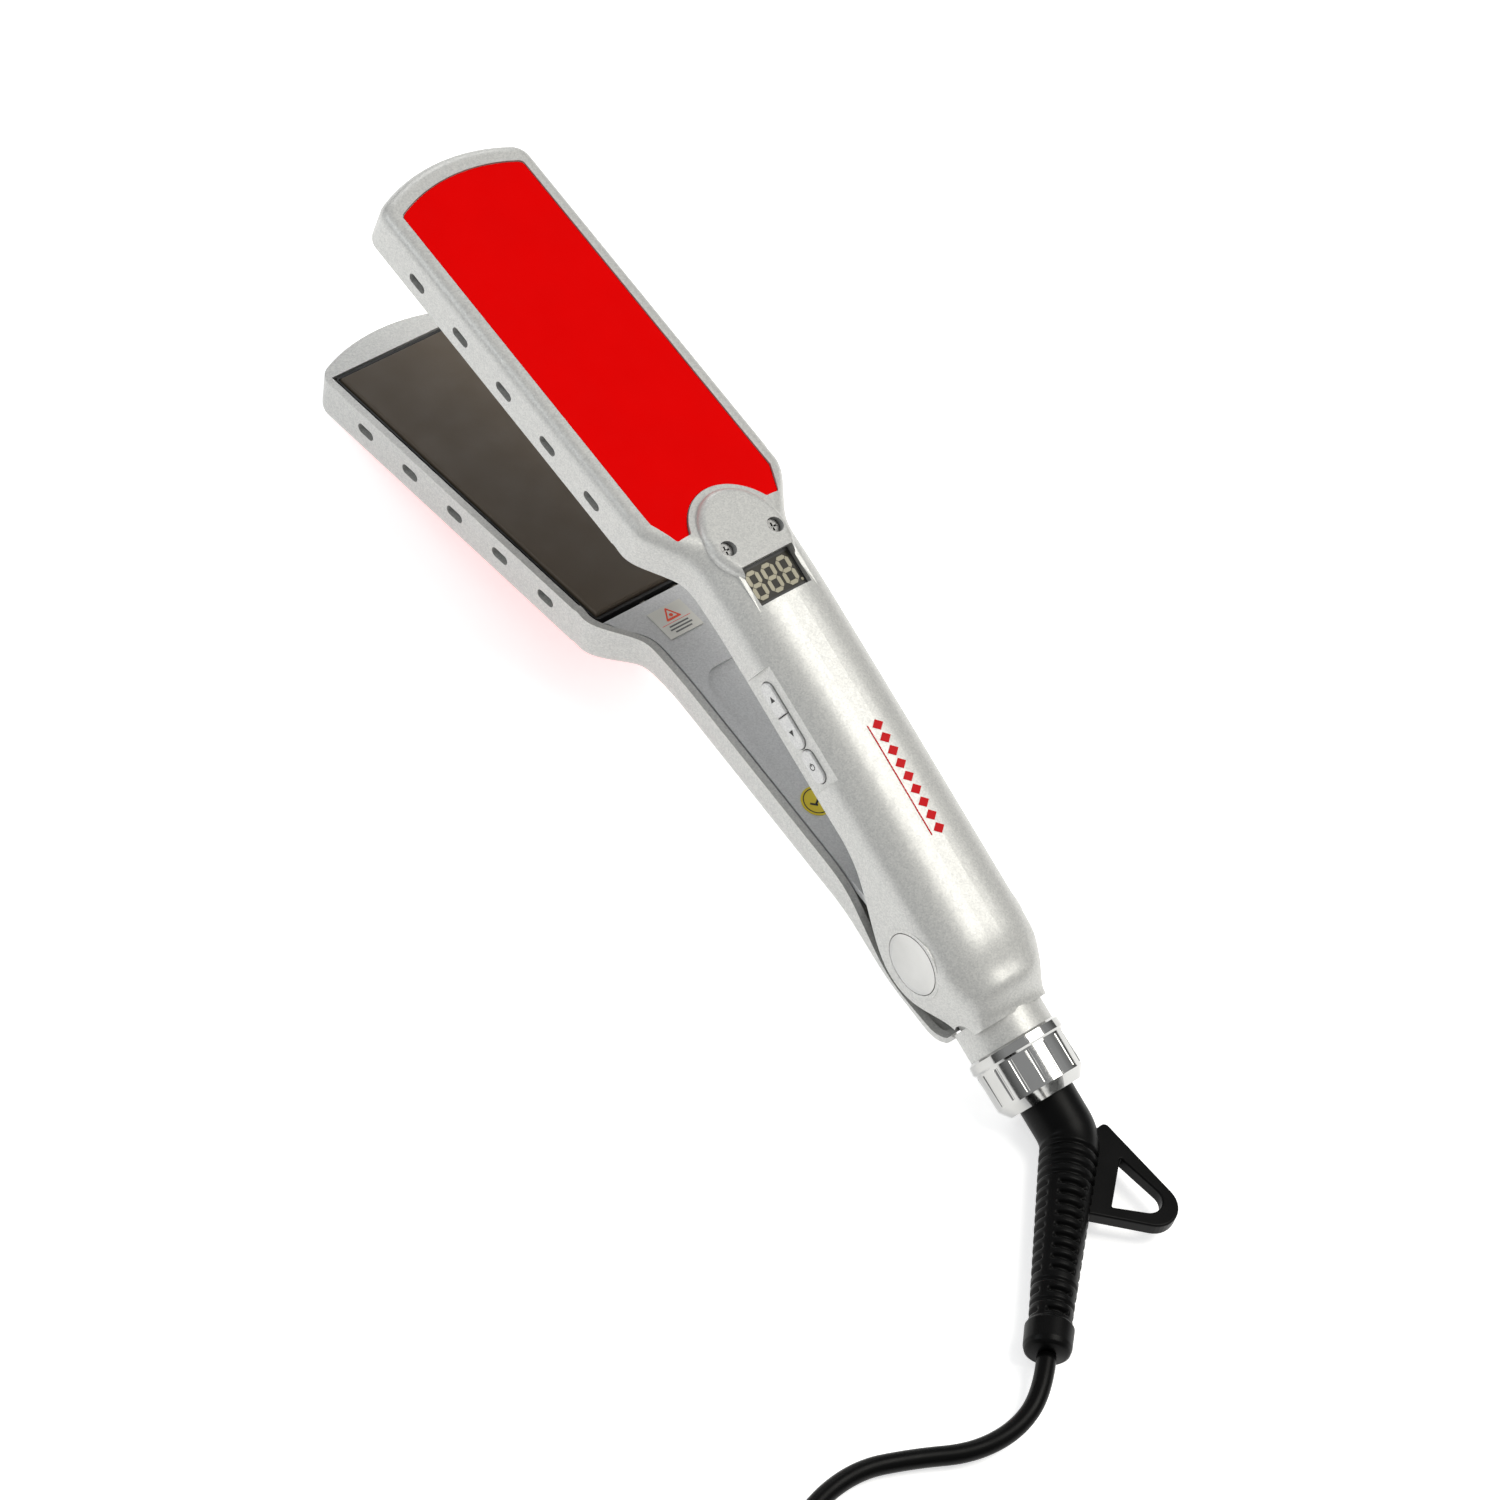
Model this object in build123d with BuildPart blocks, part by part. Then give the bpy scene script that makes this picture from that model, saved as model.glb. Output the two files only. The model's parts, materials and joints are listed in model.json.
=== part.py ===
"""Wide-plate hair straightener (flat iron), open, lying on its lower arm.

Each arm is drawn in its own frame, closed: the knee is at the origin, the head lies along -X
with its heating plate near z = 0, and the handle runs rearward, sloping down by BEND.
The lower arm is then set on the floor and the upper arm is turned open about the hinge pin.
"""
import os
from math import cos, radians, sin, sqrt, tan

from build123d import *

os.makedirs("parts", exist_ok=True)

# ---------------------------------------------------------------- driving dimensions, mm and degrees
BEND = 14.5                 # slope of the handle below the plane of the heating plate
OPEN_ANGLE = 14.5           # angle between the arms when open
REST_TILT = 9.93            # pitch of the lower head above the floor
KNEE_RADIUS = 125.0         # side-view radius of the bend between head and handle
WALL = 2.2

HEAD_HALF = 25.0            # half width of the head
HEAD_FOOT = 0.8             # free edge of the head's side walls, from the mating plane
HEAD_WALL = 10.7            # where the side wall starts to round over
HEAD_TOP = 14.2
HEAD_EDGE = 3.5             # rounding of the head's top edges
TIP_X = -142.5
TIP_CORNER_X = -136.0
TIP_CORNER_R = 6.0
HOLLOW_FRONT = -133.9
FLARE_X = -26.0             # where the head starts to narrow
THROUGH = 30.0              # long enough to cut right through an arm

HANDLE_HALF = 15.75
HANDLE_FOOT = 1.8           # parting edge of each handle, from the middle plane
PIVOT_S = 110.0             # hinge pin, along the handle from the knee
PIN_R = 2.5
BOSS_R = 12.5               # clearance round the hinge in the lower shell
CHEEK_R = 10.2
CHEEK_FACE = 15.8           # outer face of the hinge bosses
CHEEK_INNER = 13.3
EAR_OUTER = 12.95
EAR_INNER = 10.2
EAR_R = 8.5
BUSH_R = 3.5
EAR_WEB = 15.4              # height of the web that carries each ear
RUNNING = 0.04              # radial clearance of a pin in its bush
CAP_R = 8.8
CAP_SEAT = 14.7
CAP_THICK = 1.6

PLATE_FRONT = -132.0
PLATE_REAR = -20.6
PLATE_HALF = 21.25
PLATE_FACE = 0.2
PLATE_THICK = 2.2
CARRIER_FRONT = -133.4
CARRIER_REAR = -19.2
CARRIER_HALF = 22.2
CARRIER_TOP = 9.6
CARRIER_FLOOR = CARRIER_TOP - 1.6
PLATE_BACK = PLATE_FACE + PLATE_THICK
HEATER_X = -76.0            # middle of the heated length
HEATER_Y = 8.5
HEATER = (96.0, 13.0, 3.0)
INSULATOR = (-127.0, -26.0, 19.0)           # front, rear, half width
INSULATOR_THICK = 0.4
CUSHION_X = (-112, -76, -40)
CUSHION = (22.0, 8.0)

VENT_COUNT = 5
VENT_FIRST = -115.4
VENT_PITCH = 19.6
VENT_Z = 5.8
VENT = (6.6, 3.0)

PANEL_HALF = 20.5
PANEL_FRONT = -131.0
PANEL_ARC = -135.8
PANEL_REAR = -20.0
PANEL_LOBE = (-12.4, 17.4)
PANEL_FLOOR = 13.1
PANEL_FACE = 13.9
PANEL_GAP = 0.25
NOSE_CENTRE = -5.0          # raised oval where the handle's dome runs into the head
NOSE_LENGTH = 15.0
NOSE_WIDTH = 12.4
NOSE_TOP = 16.9
NOSE_EDGE = 2.2
NOSE_RING = 2.2             # silver band left between the oval and the coloured panel

SCREW_S = -7.2
SCREW_Y = 8.1
SCREW_SEAT = 12.6           # height of the seats for the screw heads
SCREW_HEAD_R = 2.1
SCREW_HEAD = 1.2
SCREW_R = 1.25
SCREW_LENGTH = 7.0
SCREW_BOSS_R = 3.4
WINDOW_S = 4.7
WINDOW = (11.2, 17.2)
WINDOW_RIM = 1.2            # wall left round the window
LENS_TOP = 14.0
LENS_THICK = 1.2
MODULE_LOW = 11.0
BOARD_TOP = 8.6
BOARD_THICK = 1.6
BOARD_MIDDLE = 31.0
BOARD = (66.0, 19.0)
FACET = ((-15.75, 1.8), (-14.0, 13.0))      # flat facet on the shoulder for the buttons: (y, z) foot and top
FACET_SPAN = (24.6, 59.4)
BUTTONS = {"up": 32.4, "down": 42.5, "power": 52.9}
BUTTON = (9.8, 4.6)
BUTTON_GAP = 0.25
BUTTON_RISE = 0.7
BUTTON_DEEP = 2.5

SPRING_S = 84.0
SPRING_R = 3.2
SPRING_WIRE = 0.55
SPRING_LOW = -11.5
SPRING_LENGTH = 10.6

COLLAR_Z = -2.6             # cord axis below the handle's middle plane
NECK_R = 12.3
SPIGOT_R = 10.2             # part of the neck held inside the handle
COLLAR_S = 140.2
COLLAR_END = 157.6
FLUTE_COUNT = 16
FLUTE_R = 0.75
FLUTE_CENTRES_R = 13.35
STEM_R = 8.0
STEM_END = 170.0
ELBOW = 49.9                # turn of the cord boot
ELBOW_ROLL = 18.0           # the turn is sideways and this much upward
SLEEVE = 67.5
CORD_R = 2.6

# ---------------------------------------------------------------- frames
HANDLE = Plane(
    origin=(0, 0, 0),
    x_dir=(cos(radians(BEND)), 0, -sin(radians(BEND))),
    z_dir=(sin(radians(BEND)), 0, cos(radians(BEND))),
)
PIVOT = HANDLE.from_local_coords(Vector(PIVOT_S, 0, 0))


def handle_plane(s, y, z):
    """Plane across the handle, looking rearward: local x is +Y, local y is up."""
    centre = HANDLE.from_local_coords(Vector(s, y, z))
    return Plane(origin=centre, x_dir=(0, 1, 0), z_dir=HANDLE.x_dir)


def station(u, side):
    """Cross-section plane at distance u along the bent middle line; local y points outward."""
    reach = KNEE_RADIUS * tan(radians(BEND / 2))
    arc = KNEE_RADIUS * radians(BEND)
    if u <= -reach:
        turn, x, z = 0.0, u, 0.0
    elif u <= arc - reach:
        turn = (u + reach) / KNEE_RADIUS
        x = KNEE_RADIUS * sin(turn) - reach
        z = KNEE_RADIUS * (cos(turn) - 1)
    else:
        turn = radians(BEND)
        s = u - arc + 2 * reach
        x, z = s * cos(turn), -s * sin(turn)
    return Plane(origin=(x, 0, z), x_dir=(0, side, 0), z_dir=(cos(turn), 0, -sin(turn)))


def smooth(value, low, high):
    t = min(max((value - low) / (high - low), 0.0), 1.0)
    return t * t * (3 - 2 * t)


def blend(value, table):
    """Smoothly interpolated value from a short table of (position, size) pairs."""
    if value <= table[0][0]:
        return table[0][1]
    for (a, low), (b, high) in zip(table, table[1:]):
        if value <= b:
            return low + (high - low) * smooth(value, a, b)
    return table[-1][1]


def place(piece, name, location):
    """Label a finished piece, set it in the rest pose and write it."""
    piece.part = location * piece.part
    piece.part.label = name
    export_step(piece.part, f"parts/{name}.step")


# ---------------------------------------------------------------- rest pose
OPENING = Pos(*PIVOT) * Rot(0, OPEN_ANGLE, 0) * Pos(*(-PIVOT))
SETTLE = Rot(0, -REST_TILT, 0)
FRAME_SHIFT = Pos(-8.51, 0, 38.01)          # centres the iron over the origin, standing on z = 0
LOWER = FRAME_SHIFT * SETTLE
UPPER = FRAME_SHIFT * SETTLE * OPENING

# ---------------------------------------------------------------- arm shells
HALF_TABLE = [(-21.5, HEAD_HALF), (-3.0, HANDLE_HALF), (118, HANDLE_HALF), (134, 11.6)]
UPPER_TABLES = {
    "foot": [(FLARE_X, HEAD_FOOT), (6, HANDLE_FOOT), (74, HANDLE_FOOT), (110, -12.6), (130, -4.5)],
    "wall": [(FLARE_X, HEAD_WALL), (10, 8.0), (114, 8.0), (134, 4.5)],
    "crown": [(FLARE_X, HEAD_TOP), (12, 17.2), (50, 17.8), (112, 17.2), (126, 14.8), (134, 9.6)],
    "corner": [(FLARE_X, HEAD_EDGE), (10, 13.6), (118, 13.6), (134, 10.4)],
}
LOWER_TABLES = {
    "foot": [(FLARE_X, HEAD_FOOT), (6, HANDLE_FOOT), (76, HANDLE_FOOT), (110, 13.2), (122, 13.6)],
    "wall": [(FLARE_X, HEAD_WALL), (10, 8.4), (80, 8.4), (110, 13.8), (124, 14.6)],
    "crown": [(FLARE_X, HEAD_TOP), (10, 13.6), (80, 13.8), (112, 16.8), (128, 18.2)],
    "corner": [(FLARE_X, HEAD_EDGE), (10, 9.0), (80, 9.0), (112, 4.0), (128, 3.0)],
}
FLARE_STATIONS = [-26 + 4 * index for index in range(10)]
GRIP_STATIONS = [18 + 8 * index for index in range(13)]
UPPER_STATIONS = FLARE_STATIONS + GRIP_STATIONS + [119, 123, 126.5, 129.5, 132, 134]
LOWER_STATIONS = FLARE_STATIONS + GRIP_STATIONS + [121, 128]


def section(u, tables, side, inset):
    """Closed arm section: flat foot, straight walls, elliptical shoulders, flat crown."""
    half = blend(u, HALF_TABLE) - inset
    wall = blend(u, tables["wall"])
    crown = blend(u, tables["crown"]) - inset
    foot = blend(u, tables["foot"]) if inset == 0 else min(-20.0, blend(u, tables["foot"]) - 20)
    corner = min(blend(u, tables["corner"]) - inset * 0.4, half - 0.6)
    with BuildSketch(station(u, side)) as sketch:
        with BuildLine():
            Polyline((-half, wall), (-half, foot), (half, foot), (half, wall))
            EllipticalCenterArc((half - corner, wall), corner, crown - wall, 0, arc_size=90)
            Line((half - corner, crown), (corner - half, crown))
            EllipticalCenterArc((corner - half, wall), corner, crown - wall, 90, arc_size=90)
        make_face()
    return sketch.sketch


def head_outline():
    """Plan of the head from its arched tip to the start of the flare."""
    half = HEAD_HALF
    with BuildSketch() as sketch:
        with BuildLine():
            Polyline((TIP_CORNER_X, -half), (FLARE_X, -half), (FLARE_X, half), (TIP_CORNER_X, half))
            ThreePointArc((TIP_CORNER_X, half), (TIP_X, 0), (TIP_CORNER_X, -half))
        make_face()
        fillet(sketch.vertices().group_by(Axis.X)[0], TIP_CORNER_R)
    return sketch.sketch


def arm_solid(tables, stations, side):
    """Solid outer form of one arm: rounded head block plus the lofted flare and handle."""
    with BuildPart() as head:
        with BuildSketch(Plane.XY.offset(side * HEAD_FOOT)):
            add(head_outline())
        extrude(amount=side * (HEAD_TOP - HEAD_FOOT))
        top = head.faces().sort_by(Axis.Z)[-1 if side > 0 else 0]
        rear = top.edges().sort_by(Axis.X)[-1]
        fillet([edge for edge in top.edges() if edge != rear], HEAD_EDGE)
    with BuildPart() as handle:
        for u in stations:
            add(section(u, tables, side, 0))
        loft()
    return head.part, handle.part


def arm_hollow(tables, stations, side, last):
    """Inside of one arm, open towards the other arm."""
    with BuildPart() as head:
        with BuildSketch(Plane.XY.offset(-side * 5)):
            with Locations(((HOLLOW_FRONT + FLARE_X) / 2, 0)):
                Rectangle(FLARE_X - HOLLOW_FRONT, 2 * (HEAD_HALF - WALL))
        extrude(amount=side * (HEAD_TOP - WALL + 5))
    with BuildPart() as handle:
        for u in [FLARE_X - 0.5] + [u for u in stations[1:] if u < last] + [last]:
            add(section(u, tables, side, WALL))
        loft()
    return head.part, handle.part


def panel_outline(gap):
    """Plan of the coloured inlay: arched front, two lobes round the raised oval at the rear."""
    lobe_x, lobe_y = PANEL_LOBE
    half = PANEL_HALF + gap
    with BuildSketch() as sketch:
        with BuildLine():
            Polyline((PANEL_FRONT - gap, half), (PANEL_REAR, half), (lobe_x + gap, lobe_y),
                     (lobe_x + gap, -lobe_y), (PANEL_REAR, -half), (PANEL_FRONT - gap, -half))
            ThreePointArc((PANEL_FRONT - gap, -half), (PANEL_ARC - gap, 0), (PANEL_FRONT - gap, half))
        make_face()
        with Locations((NOSE_CENTRE, 0)):
            Ellipse(NOSE_LENGTH + NOSE_RING - gap, NOSE_WIDTH + NOSE_RING - gap, mode=Mode.SUBTRACT)
        fillet(sketch.vertices().group_by(Axis.X)[-1], 0.8)
        fillet(sketch.vertices().group_by(Axis.X)[0], 2.0)
    return sketch.sketch


def cut_vents(side):
    """Five slots through each side wall of the head (inside a shell's own context)."""
    for index in range(VENT_COUNT):
        middle = (VENT_FIRST + VENT_PITCH * index, 0, side * VENT_Z)
        with BuildSketch(Plane(origin=middle, x_dir=(1, 0, 0), z_dir=(0, 1, 0))) as slot:
            SlotOverall(*VENT)
        extrude(slot.sketch, amount=HEAD_HALF + 5, both=True, mode=Mode.SUBTRACT)


def button_outline(name, grow):
    """Button face: one round end and one square end, or two round ends on the power button."""
    length, width = BUTTON[0] + 2 * grow, BUTTON[1] + 2 * grow
    if name == "power":
        SlotOverall(length, width)
    else:
        direction = -1 if name == "up" else 1
        with Locations((direction * (length - width) / 2, 0)):
            Circle(width / 2)
        with Locations((-direction * width / 4, 0)):
            Rectangle(length - width / 2, width)


def facet_plane(s, depth):
    """Plane on the button facet, normal pointing out of the handle; depth is measured inward."""
    (foot_y, foot_z), (top_y, top_z) = FACET
    lean = sqrt((top_y - foot_y) ** 2 + (top_z - foot_z) ** 2)
    out_y, out_z = -(top_z - foot_z) / lean, (top_y - foot_y) / lean
    middle_y, middle_z = (foot_y + top_y) / 2 - out_y * depth, (foot_z + top_z) / 2 - out_z * depth
    centre = HANDLE.from_local_coords(Vector(s, middle_y, middle_z))
    normal = Vector(0, out_y, 0) + HANDLE.z_dir * out_z
    return Plane(origin=centre, x_dir=HANDLE.x_dir, z_dir=normal)


def screw_circles(radius):
    """Circles at the places of the two shell screws (inside a sketch's own context)."""
    with Locations((SCREW_S, SCREW_Y), (SCREW_S, -SCREW_Y)):
        Circle(radius)


# upper shell: outer form, hollow, hinge bosses, then its windows, screw seats and vents
head_form, handle_form = arm_solid(UPPER_TABLES, UPPER_STATIONS, 1)
head_void, handle_void = arm_hollow(UPPER_TABLES, UPPER_STATIONS, 1, 131)
pivot_side = Plane(origin=PIVOT, x_dir=HANDLE.x_dir, z_dir=(0, -1, 0))
with BuildPart() as upper_shell:
    add(head_form)
    add(handle_form)
    with BuildSketch(Plane.XY.offset(HEAD_TOP - 4)):
        with Locations((NOSE_CENTRE, 0)):
            Ellipse(NOSE_LENGTH, NOSE_WIDTH)
    extrude(amount=NOSE_TOP - HEAD_TOP + 4)
    rims = upper_shell.edges().filter_by(GeomType.ELLIPSE)
    fillet(rims.filter_by_position(Axis.Z, NOSE_TOP - 0.1, NOSE_TOP + 0.1), NOSE_EDGE)
    add(head_void, mode=Mode.SUBTRACT)
    add(handle_void, mode=Mode.SUBTRACT)
    for sign in (1, -1):
        with BuildSketch(pivot_side.offset(sign * CHEEK_INNER)):
            Circle(CHEEK_R)
        extrude(amount=sign * (CHEEK_FACE - CHEEK_INNER))
        with BuildSketch(pivot_side.offset(sign * CAP_SEAT)):
            Circle(CAP_R + 0.25)
        extrude(amount=sign * 3, mode=Mode.SUBTRACT)
    with BuildSketch(pivot_side):
        Circle(PIN_R + 0.02)
    extrude(amount=THROUGH, both=True, mode=Mode.SUBTRACT)
    with BuildSketch(Plane.XY.offset(PANEL_FLOOR)):
        add(panel_outline(PANEL_GAP))
    extrude(amount=6, mode=Mode.SUBTRACT)
    with BuildSketch(HANDLE.offset(11.4)):
        with Locations((WINDOW_S, 0)):
            Rectangle(WINDOW[0] + 2 * WINDOW_RIM, WINDOW[1] + 2 * WINDOW_RIM)
    extrude(amount=4.2)
    with BuildSketch(HANDLE.offset(8)):
        with Locations((WINDOW_S, 0)):
            Rectangle(*WINDOW)
    extrude(amount=THROUGH, mode=Mode.SUBTRACT)
    with BuildSketch(HANDLE.offset(SCREW_SEAT - 3.6)):
        screw_circles(SCREW_BOSS_R)
    extrude(amount=5.5)
    with BuildSketch(HANDLE.offset(SCREW_SEAT - 6.6)):
        screw_circles(SCREW_R + 0.05)
    extrude(amount=THROUGH, mode=Mode.SUBTRACT)
    with BuildSketch(HANDLE.offset(SCREW_SEAT)):
        screw_circles(SCREW_HEAD_R + 0.2)
    extrude(amount=THROUGH, mode=Mode.SUBTRACT)
    with BuildSketch(handle_plane(FACET_SPAN[0] - 1.5, 0, 0)):      # keeps a wall under the facet
        Polygon((-13.7, 3.6), (-12.3, 3.6), (-11.2, 13.4), (-13.2, 13.4), align=None)
    extrude(amount=FACET_SPAN[1] - FACET_SPAN[0] + 3)
    with BuildSketch(handle_plane(FACET_SPAN[0], 0, 0)):
        Polygon((-22, FACET[0][1]), FACET[0], FACET[1], (FACET[1][0], 20), (-22, 20), align=None)
    extrude(amount=FACET_SPAN[1] - FACET_SPAN[0], mode=Mode.SUBTRACT)
    for name, s in BUTTONS.items():
        with BuildSketch(facet_plane(s, -3)):
            button_outline(name, BUTTON_GAP)
        extrude(amount=-9, mode=Mode.SUBTRACT)
    with BuildSketch(handle_plane(120, 0, COLLAR_Z)):
        Circle(NECK_R + 0.05)
    extrude(amount=THROUGH, mode=Mode.SUBTRACT)
    cut_vents(1)
place(upper_shell, "upper_shell", UPPER)

# lower shell: outer form, hollow, scoop round the hinge bosses, room for the neck, ears for the bushes
with BuildPart() as neck_room:
    with BuildSketch(handle_plane(120.5, 0, COLLAR_Z)):
        Circle(SPIGOT_R + 0.6)
    extrude(amount=20)
    with BuildSketch(handle_plane(130.8, 0, COLLAR_Z)):
        Circle(NECK_R + 0.6)
    extrude(amount=12)
head_form, handle_form = arm_solid(LOWER_TABLES, LOWER_STATIONS, -1)
head_void, handle_void = arm_hollow(LOWER_TABLES, LOWER_STATIONS, -1, 126)
with BuildPart() as lower_shell:
    add(head_form)
    add(handle_form)
    add(head_void, mode=Mode.SUBTRACT)
    add(handle_void, mode=Mode.SUBTRACT)
    with BuildSketch(pivot_side):
        Circle(BOSS_R)
    extrude(amount=THROUGH, both=True, mode=Mode.SUBTRACT)
    add(OPENING * neck_room.part, mode=Mode.SUBTRACT)
    for sign in (1, -1):
        with BuildSketch(pivot_side.offset(sign * EAR_INNER)):
            Circle(EAR_R)
            Polygon((-EAR_R, 0), (-EAR_R, -EAR_WEB), (3, -EAR_WEB), (EAR_R, 0), align=None)
            Circle(BUSH_R, mode=Mode.SUBTRACT)
        extrude(amount=sign * (EAR_OUTER - EAR_INNER))
    with BuildSketch(Plane.XY.offset(-PANEL_FLOOR)):
        add(panel_outline(PANEL_GAP))
    extrude(amount=-6, mode=Mode.SUBTRACT)
    cut_vents(-1)
place(lower_shell, "lower_shell", LOWER)

# ---------------------------------------------------------------- hinge
with BuildPart() as hinge_pin:
    with BuildSketch(pivot_side):
        Circle(PIN_R)
    extrude(amount=CAP_SEAT - 0.3, both=True)
    chamfer(hinge_pin.edges().filter_by(GeomType.CIRCLE), 0.4)
place(hinge_pin, "hinge_pin", UPPER)

for name, sign in (("hinge_cap_near", 1), ("hinge_cap_far", -1)):
    with BuildPart() as hinge_cap:
        with BuildSketch(pivot_side.offset(sign * CAP_SEAT)):
            Circle(CAP_R)
        extrude(amount=sign * CAP_THICK)
        rim = hinge_cap.faces().sort_by(Axis.Y)[0 if sign > 0 else -1].edges()
        chamfer(rim, 0.45, 1.5)
    place(hinge_cap, name, UPPER)

with BuildPart() as hinge_bushes:
    for sign in (1, -1):
        with BuildSketch(pivot_side.offset(sign * EAR_INNER)):
            Circle(BUSH_R)
            Circle(PIN_R + RUNNING, mode=Mode.SUBTRACT)
        extrude(amount=sign * (EAR_OUTER - EAR_INNER))
place(hinge_bushes, "hinge_bushes", LOWER)

# ---------------------------------------------------------------- heads: one set of heating pieces per arm
CUSHION_LOW = PLATE_BACK + HEATER[2] + INSULATOR_THICK


def half_box(front, rear, half, low, high, side, mode=Mode.ADD):
    """Box along the head between two x positions and two distances from the mating plane."""
    with BuildSketch(Plane.XY.offset(side * low)) as outline:
        with Locations(((front + rear) / 2, 0)):
            Rectangle(rear - front, 2 * half)
    extrude(outline.sketch, amount=side * (high - low), mode=mode)


for arm, side, location in (("upper", 1, UPPER), ("lower", -1, LOWER)):
    with BuildPart() as panel:
        with BuildSketch(Plane.XY.offset(side * PANEL_FLOOR)):
            add(panel_outline(0))
        extrude(amount=side * (PANEL_FACE - PANEL_FLOOR))
    place(panel, f"{arm}_panel", location)

    with BuildPart() as plate:
        half_box(PLATE_FRONT, PLATE_REAR, PLATE_HALF, PLATE_FACE, PLATE_BACK, side)
        face = plate.faces().sort_by(Axis.Z)[0 if side > 0 else -1]
        fillet(face.edges(), 0.7)
    place(plate, f"{arm}_plate", location)

    with BuildPart() as carrier:
        half_box(CARRIER_FRONT, CARRIER_REAR, CARRIER_HALF, PLATE_FACE + 0.9, CARRIER_TOP, side)
        fillet(carrier.edges().filter_by(Axis.Z), 1.2)
        half_box(PLATE_FRONT - 0.5, PLATE_REAR + 0.5, PLATE_HALF + 0.4, 0, CARRIER_FLOOR, side, Mode.SUBTRACT)
        half_box(PLATE_REAR - 2, CARRIER_REAR + 2, 7, PLATE_BACK + 0.4, CARRIER_FLOOR, side, Mode.SUBTRACT)
    place(carrier, f"{arm}_plate_carrier", location)

    with BuildPart() as heater:
        with BuildSketch(Plane.XY.offset(side * PLATE_BACK)):
            with Locations((HEATER_X, HEATER_Y), (HEATER_X, -HEATER_Y)):
                Rectangle(HEATER[0], HEATER[1])
        extrude(amount=side * HEATER[2])
    place(heater, f"{arm}_heaters", location)

    with BuildPart() as insulator:
        half_box(*INSULATOR, PLATE_BACK + HEATER[2], CUSHION_LOW, side)
    place(insulator, f"{arm}_insulator", location)

    with BuildPart() as cushions:
        for x in CUSHION_X:
            with BuildSketch(Plane.XY.offset(side * CUSHION_LOW)):
                with Locations((x, 0)):
                    SlotOverall(*CUSHION)
            extrude(amount=side * (CARRIER_FLOOR - CUSHION_LOW))
    place(cushions, f"{arm}_plate_cushions", location)

THERMISTOR = (7.0, 2.4)
THERMISTOR_THICK = 2.0
FUSE_R = 1.25
FUSE_FRONT = -60.0
FUSE_LENGTH = 11.0
with BuildPart() as thermistor:
    with BuildSketch(Plane.XY.offset(PLATE_BACK)):
        with Locations((HEATER_X, 0)):
            SlotOverall(*THERMISTOR)
    extrude(amount=THERMISTOR_THICK)
place(thermistor, "thermistor", UPPER)

with BuildPart() as thermal_fuse:
    with BuildSketch(Plane(origin=(FUSE_FRONT, 0, -PLATE_BACK - FUSE_R - 0.05), z_dir=(1, 0, 0))):
        Circle(FUSE_R)
    extrude(amount=FUSE_LENGTH)
place(thermal_fuse, "thermal_fuse", LOWER)

# ---------------------------------------------------------------- inner covers of the handles
COVER_INSET = WALL + 0.4
COVER_SPAN = (-17.8, 92.0)
COVER_OUTER = 1.5           # open face of each cover, from the middle plane
RECESS_FLOOR = -2.6
LABEL = (11.4, 0.12)
LABEL_PLACE = (4.0, 1.35)   # across the handle, and up from the middle plane
STICKER_PLACE = (57.5, -6.3)
STICKER_R = 4.5


def cover(side, inner):
    """Thin bent slab that closes the open side of one handle, as far in as its inner face."""
    first, last = COVER_SPAN
    stops = [first] + [u for u in LOWER_STATIONS if first < u < last] + [last]
    slices = []
    for u in stops:
        half = blend(u, HALF_TABLE) - COVER_INSET
        with BuildSketch(station(u, side)) as slab:
            with BuildLine():
                Polyline((-half, COVER_OUTER), (half, COVER_OUTER), (half, inner), (-half, inner), close=True)
            make_face()
        slices.append(slab.sketch)
    loft(slices)


with BuildPart() as upper_inner_cover:
    cover(1, 3.3)
place(upper_inner_cover, "upper_inner_cover", UPPER)

with BuildPart() as lower_inner_cover:
    cover(-1, 3.5)
    with BuildSketch(HANDLE.offset(RECESS_FLOOR)):      # shallow finger recess
        with Locations((30, 0)):
            RectangleRounded(39, 20.6, 6)
    extrude(amount=1.2, mode=Mode.SUBTRACT)
    with BuildSketch(HANDLE.offset(-1.4)):              # slot for the opening spring
        with Locations((SPRING_S, 0)):
            SlotOverall(30, 9)
    extrude(amount=-9, mode=Mode.SUBTRACT)
place(lower_inner_cover, "lower_inner_cover", LOWER)

with BuildPart() as warning_label:
    with BuildSketch(station(-8, -1)):
        with Locations(LABEL_PLACE):
            Rectangle(*LABEL)
    extrude(amount=5.2, both=True)
place(warning_label, "warning_label", LOWER)

with BuildPart() as check_sticker:
    with BuildSketch(HANDLE.offset(-1.45)):
        with Locations(STICKER_PLACE):
            Circle(STICKER_R)
    extrude(amount=0.12)
place(check_sticker, "check_sticker", LOWER)

# ---------------------------------------------------------------- opening spring between the handles
with BuildPart() as opening_spring:
    with BuildSketch(HANDLE.offset(SPRING_LOW)):
        with Locations((SPRING_S, 0)):
            Circle(SPRING_R + SPRING_WIRE)
            Circle(SPRING_R - SPRING_WIRE, mode=Mode.SUBTRACT)
    extrude(amount=SPRING_LENGTH)
place(opening_spring, "opening_spring", LOWER)

# ---------------------------------------------------------------- display, board, buttons
with BuildPart() as display_lens:
    with BuildSketch(HANDLE.offset(LENS_TOP - LENS_THICK)):
        with Locations((WINDOW_S, 0)):
            Rectangle(WINDOW[0] - 0.1, WINDOW[1] - 0.1)
    extrude(amount=LENS_THICK)
place(display_lens, "display_lens", UPPER)

with BuildPart() as display_module:
    with BuildSketch(HANDLE.offset(MODULE_LOW)):
        with Locations((WINDOW_S, 0)):
            Rectangle(WINDOW[0] - 0.2, WINDOW[1] - 0.2)
    extrude(amount=LENS_TOP - LENS_THICK - MODULE_LOW)
place(display_module, "display_module", UPPER)

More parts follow.
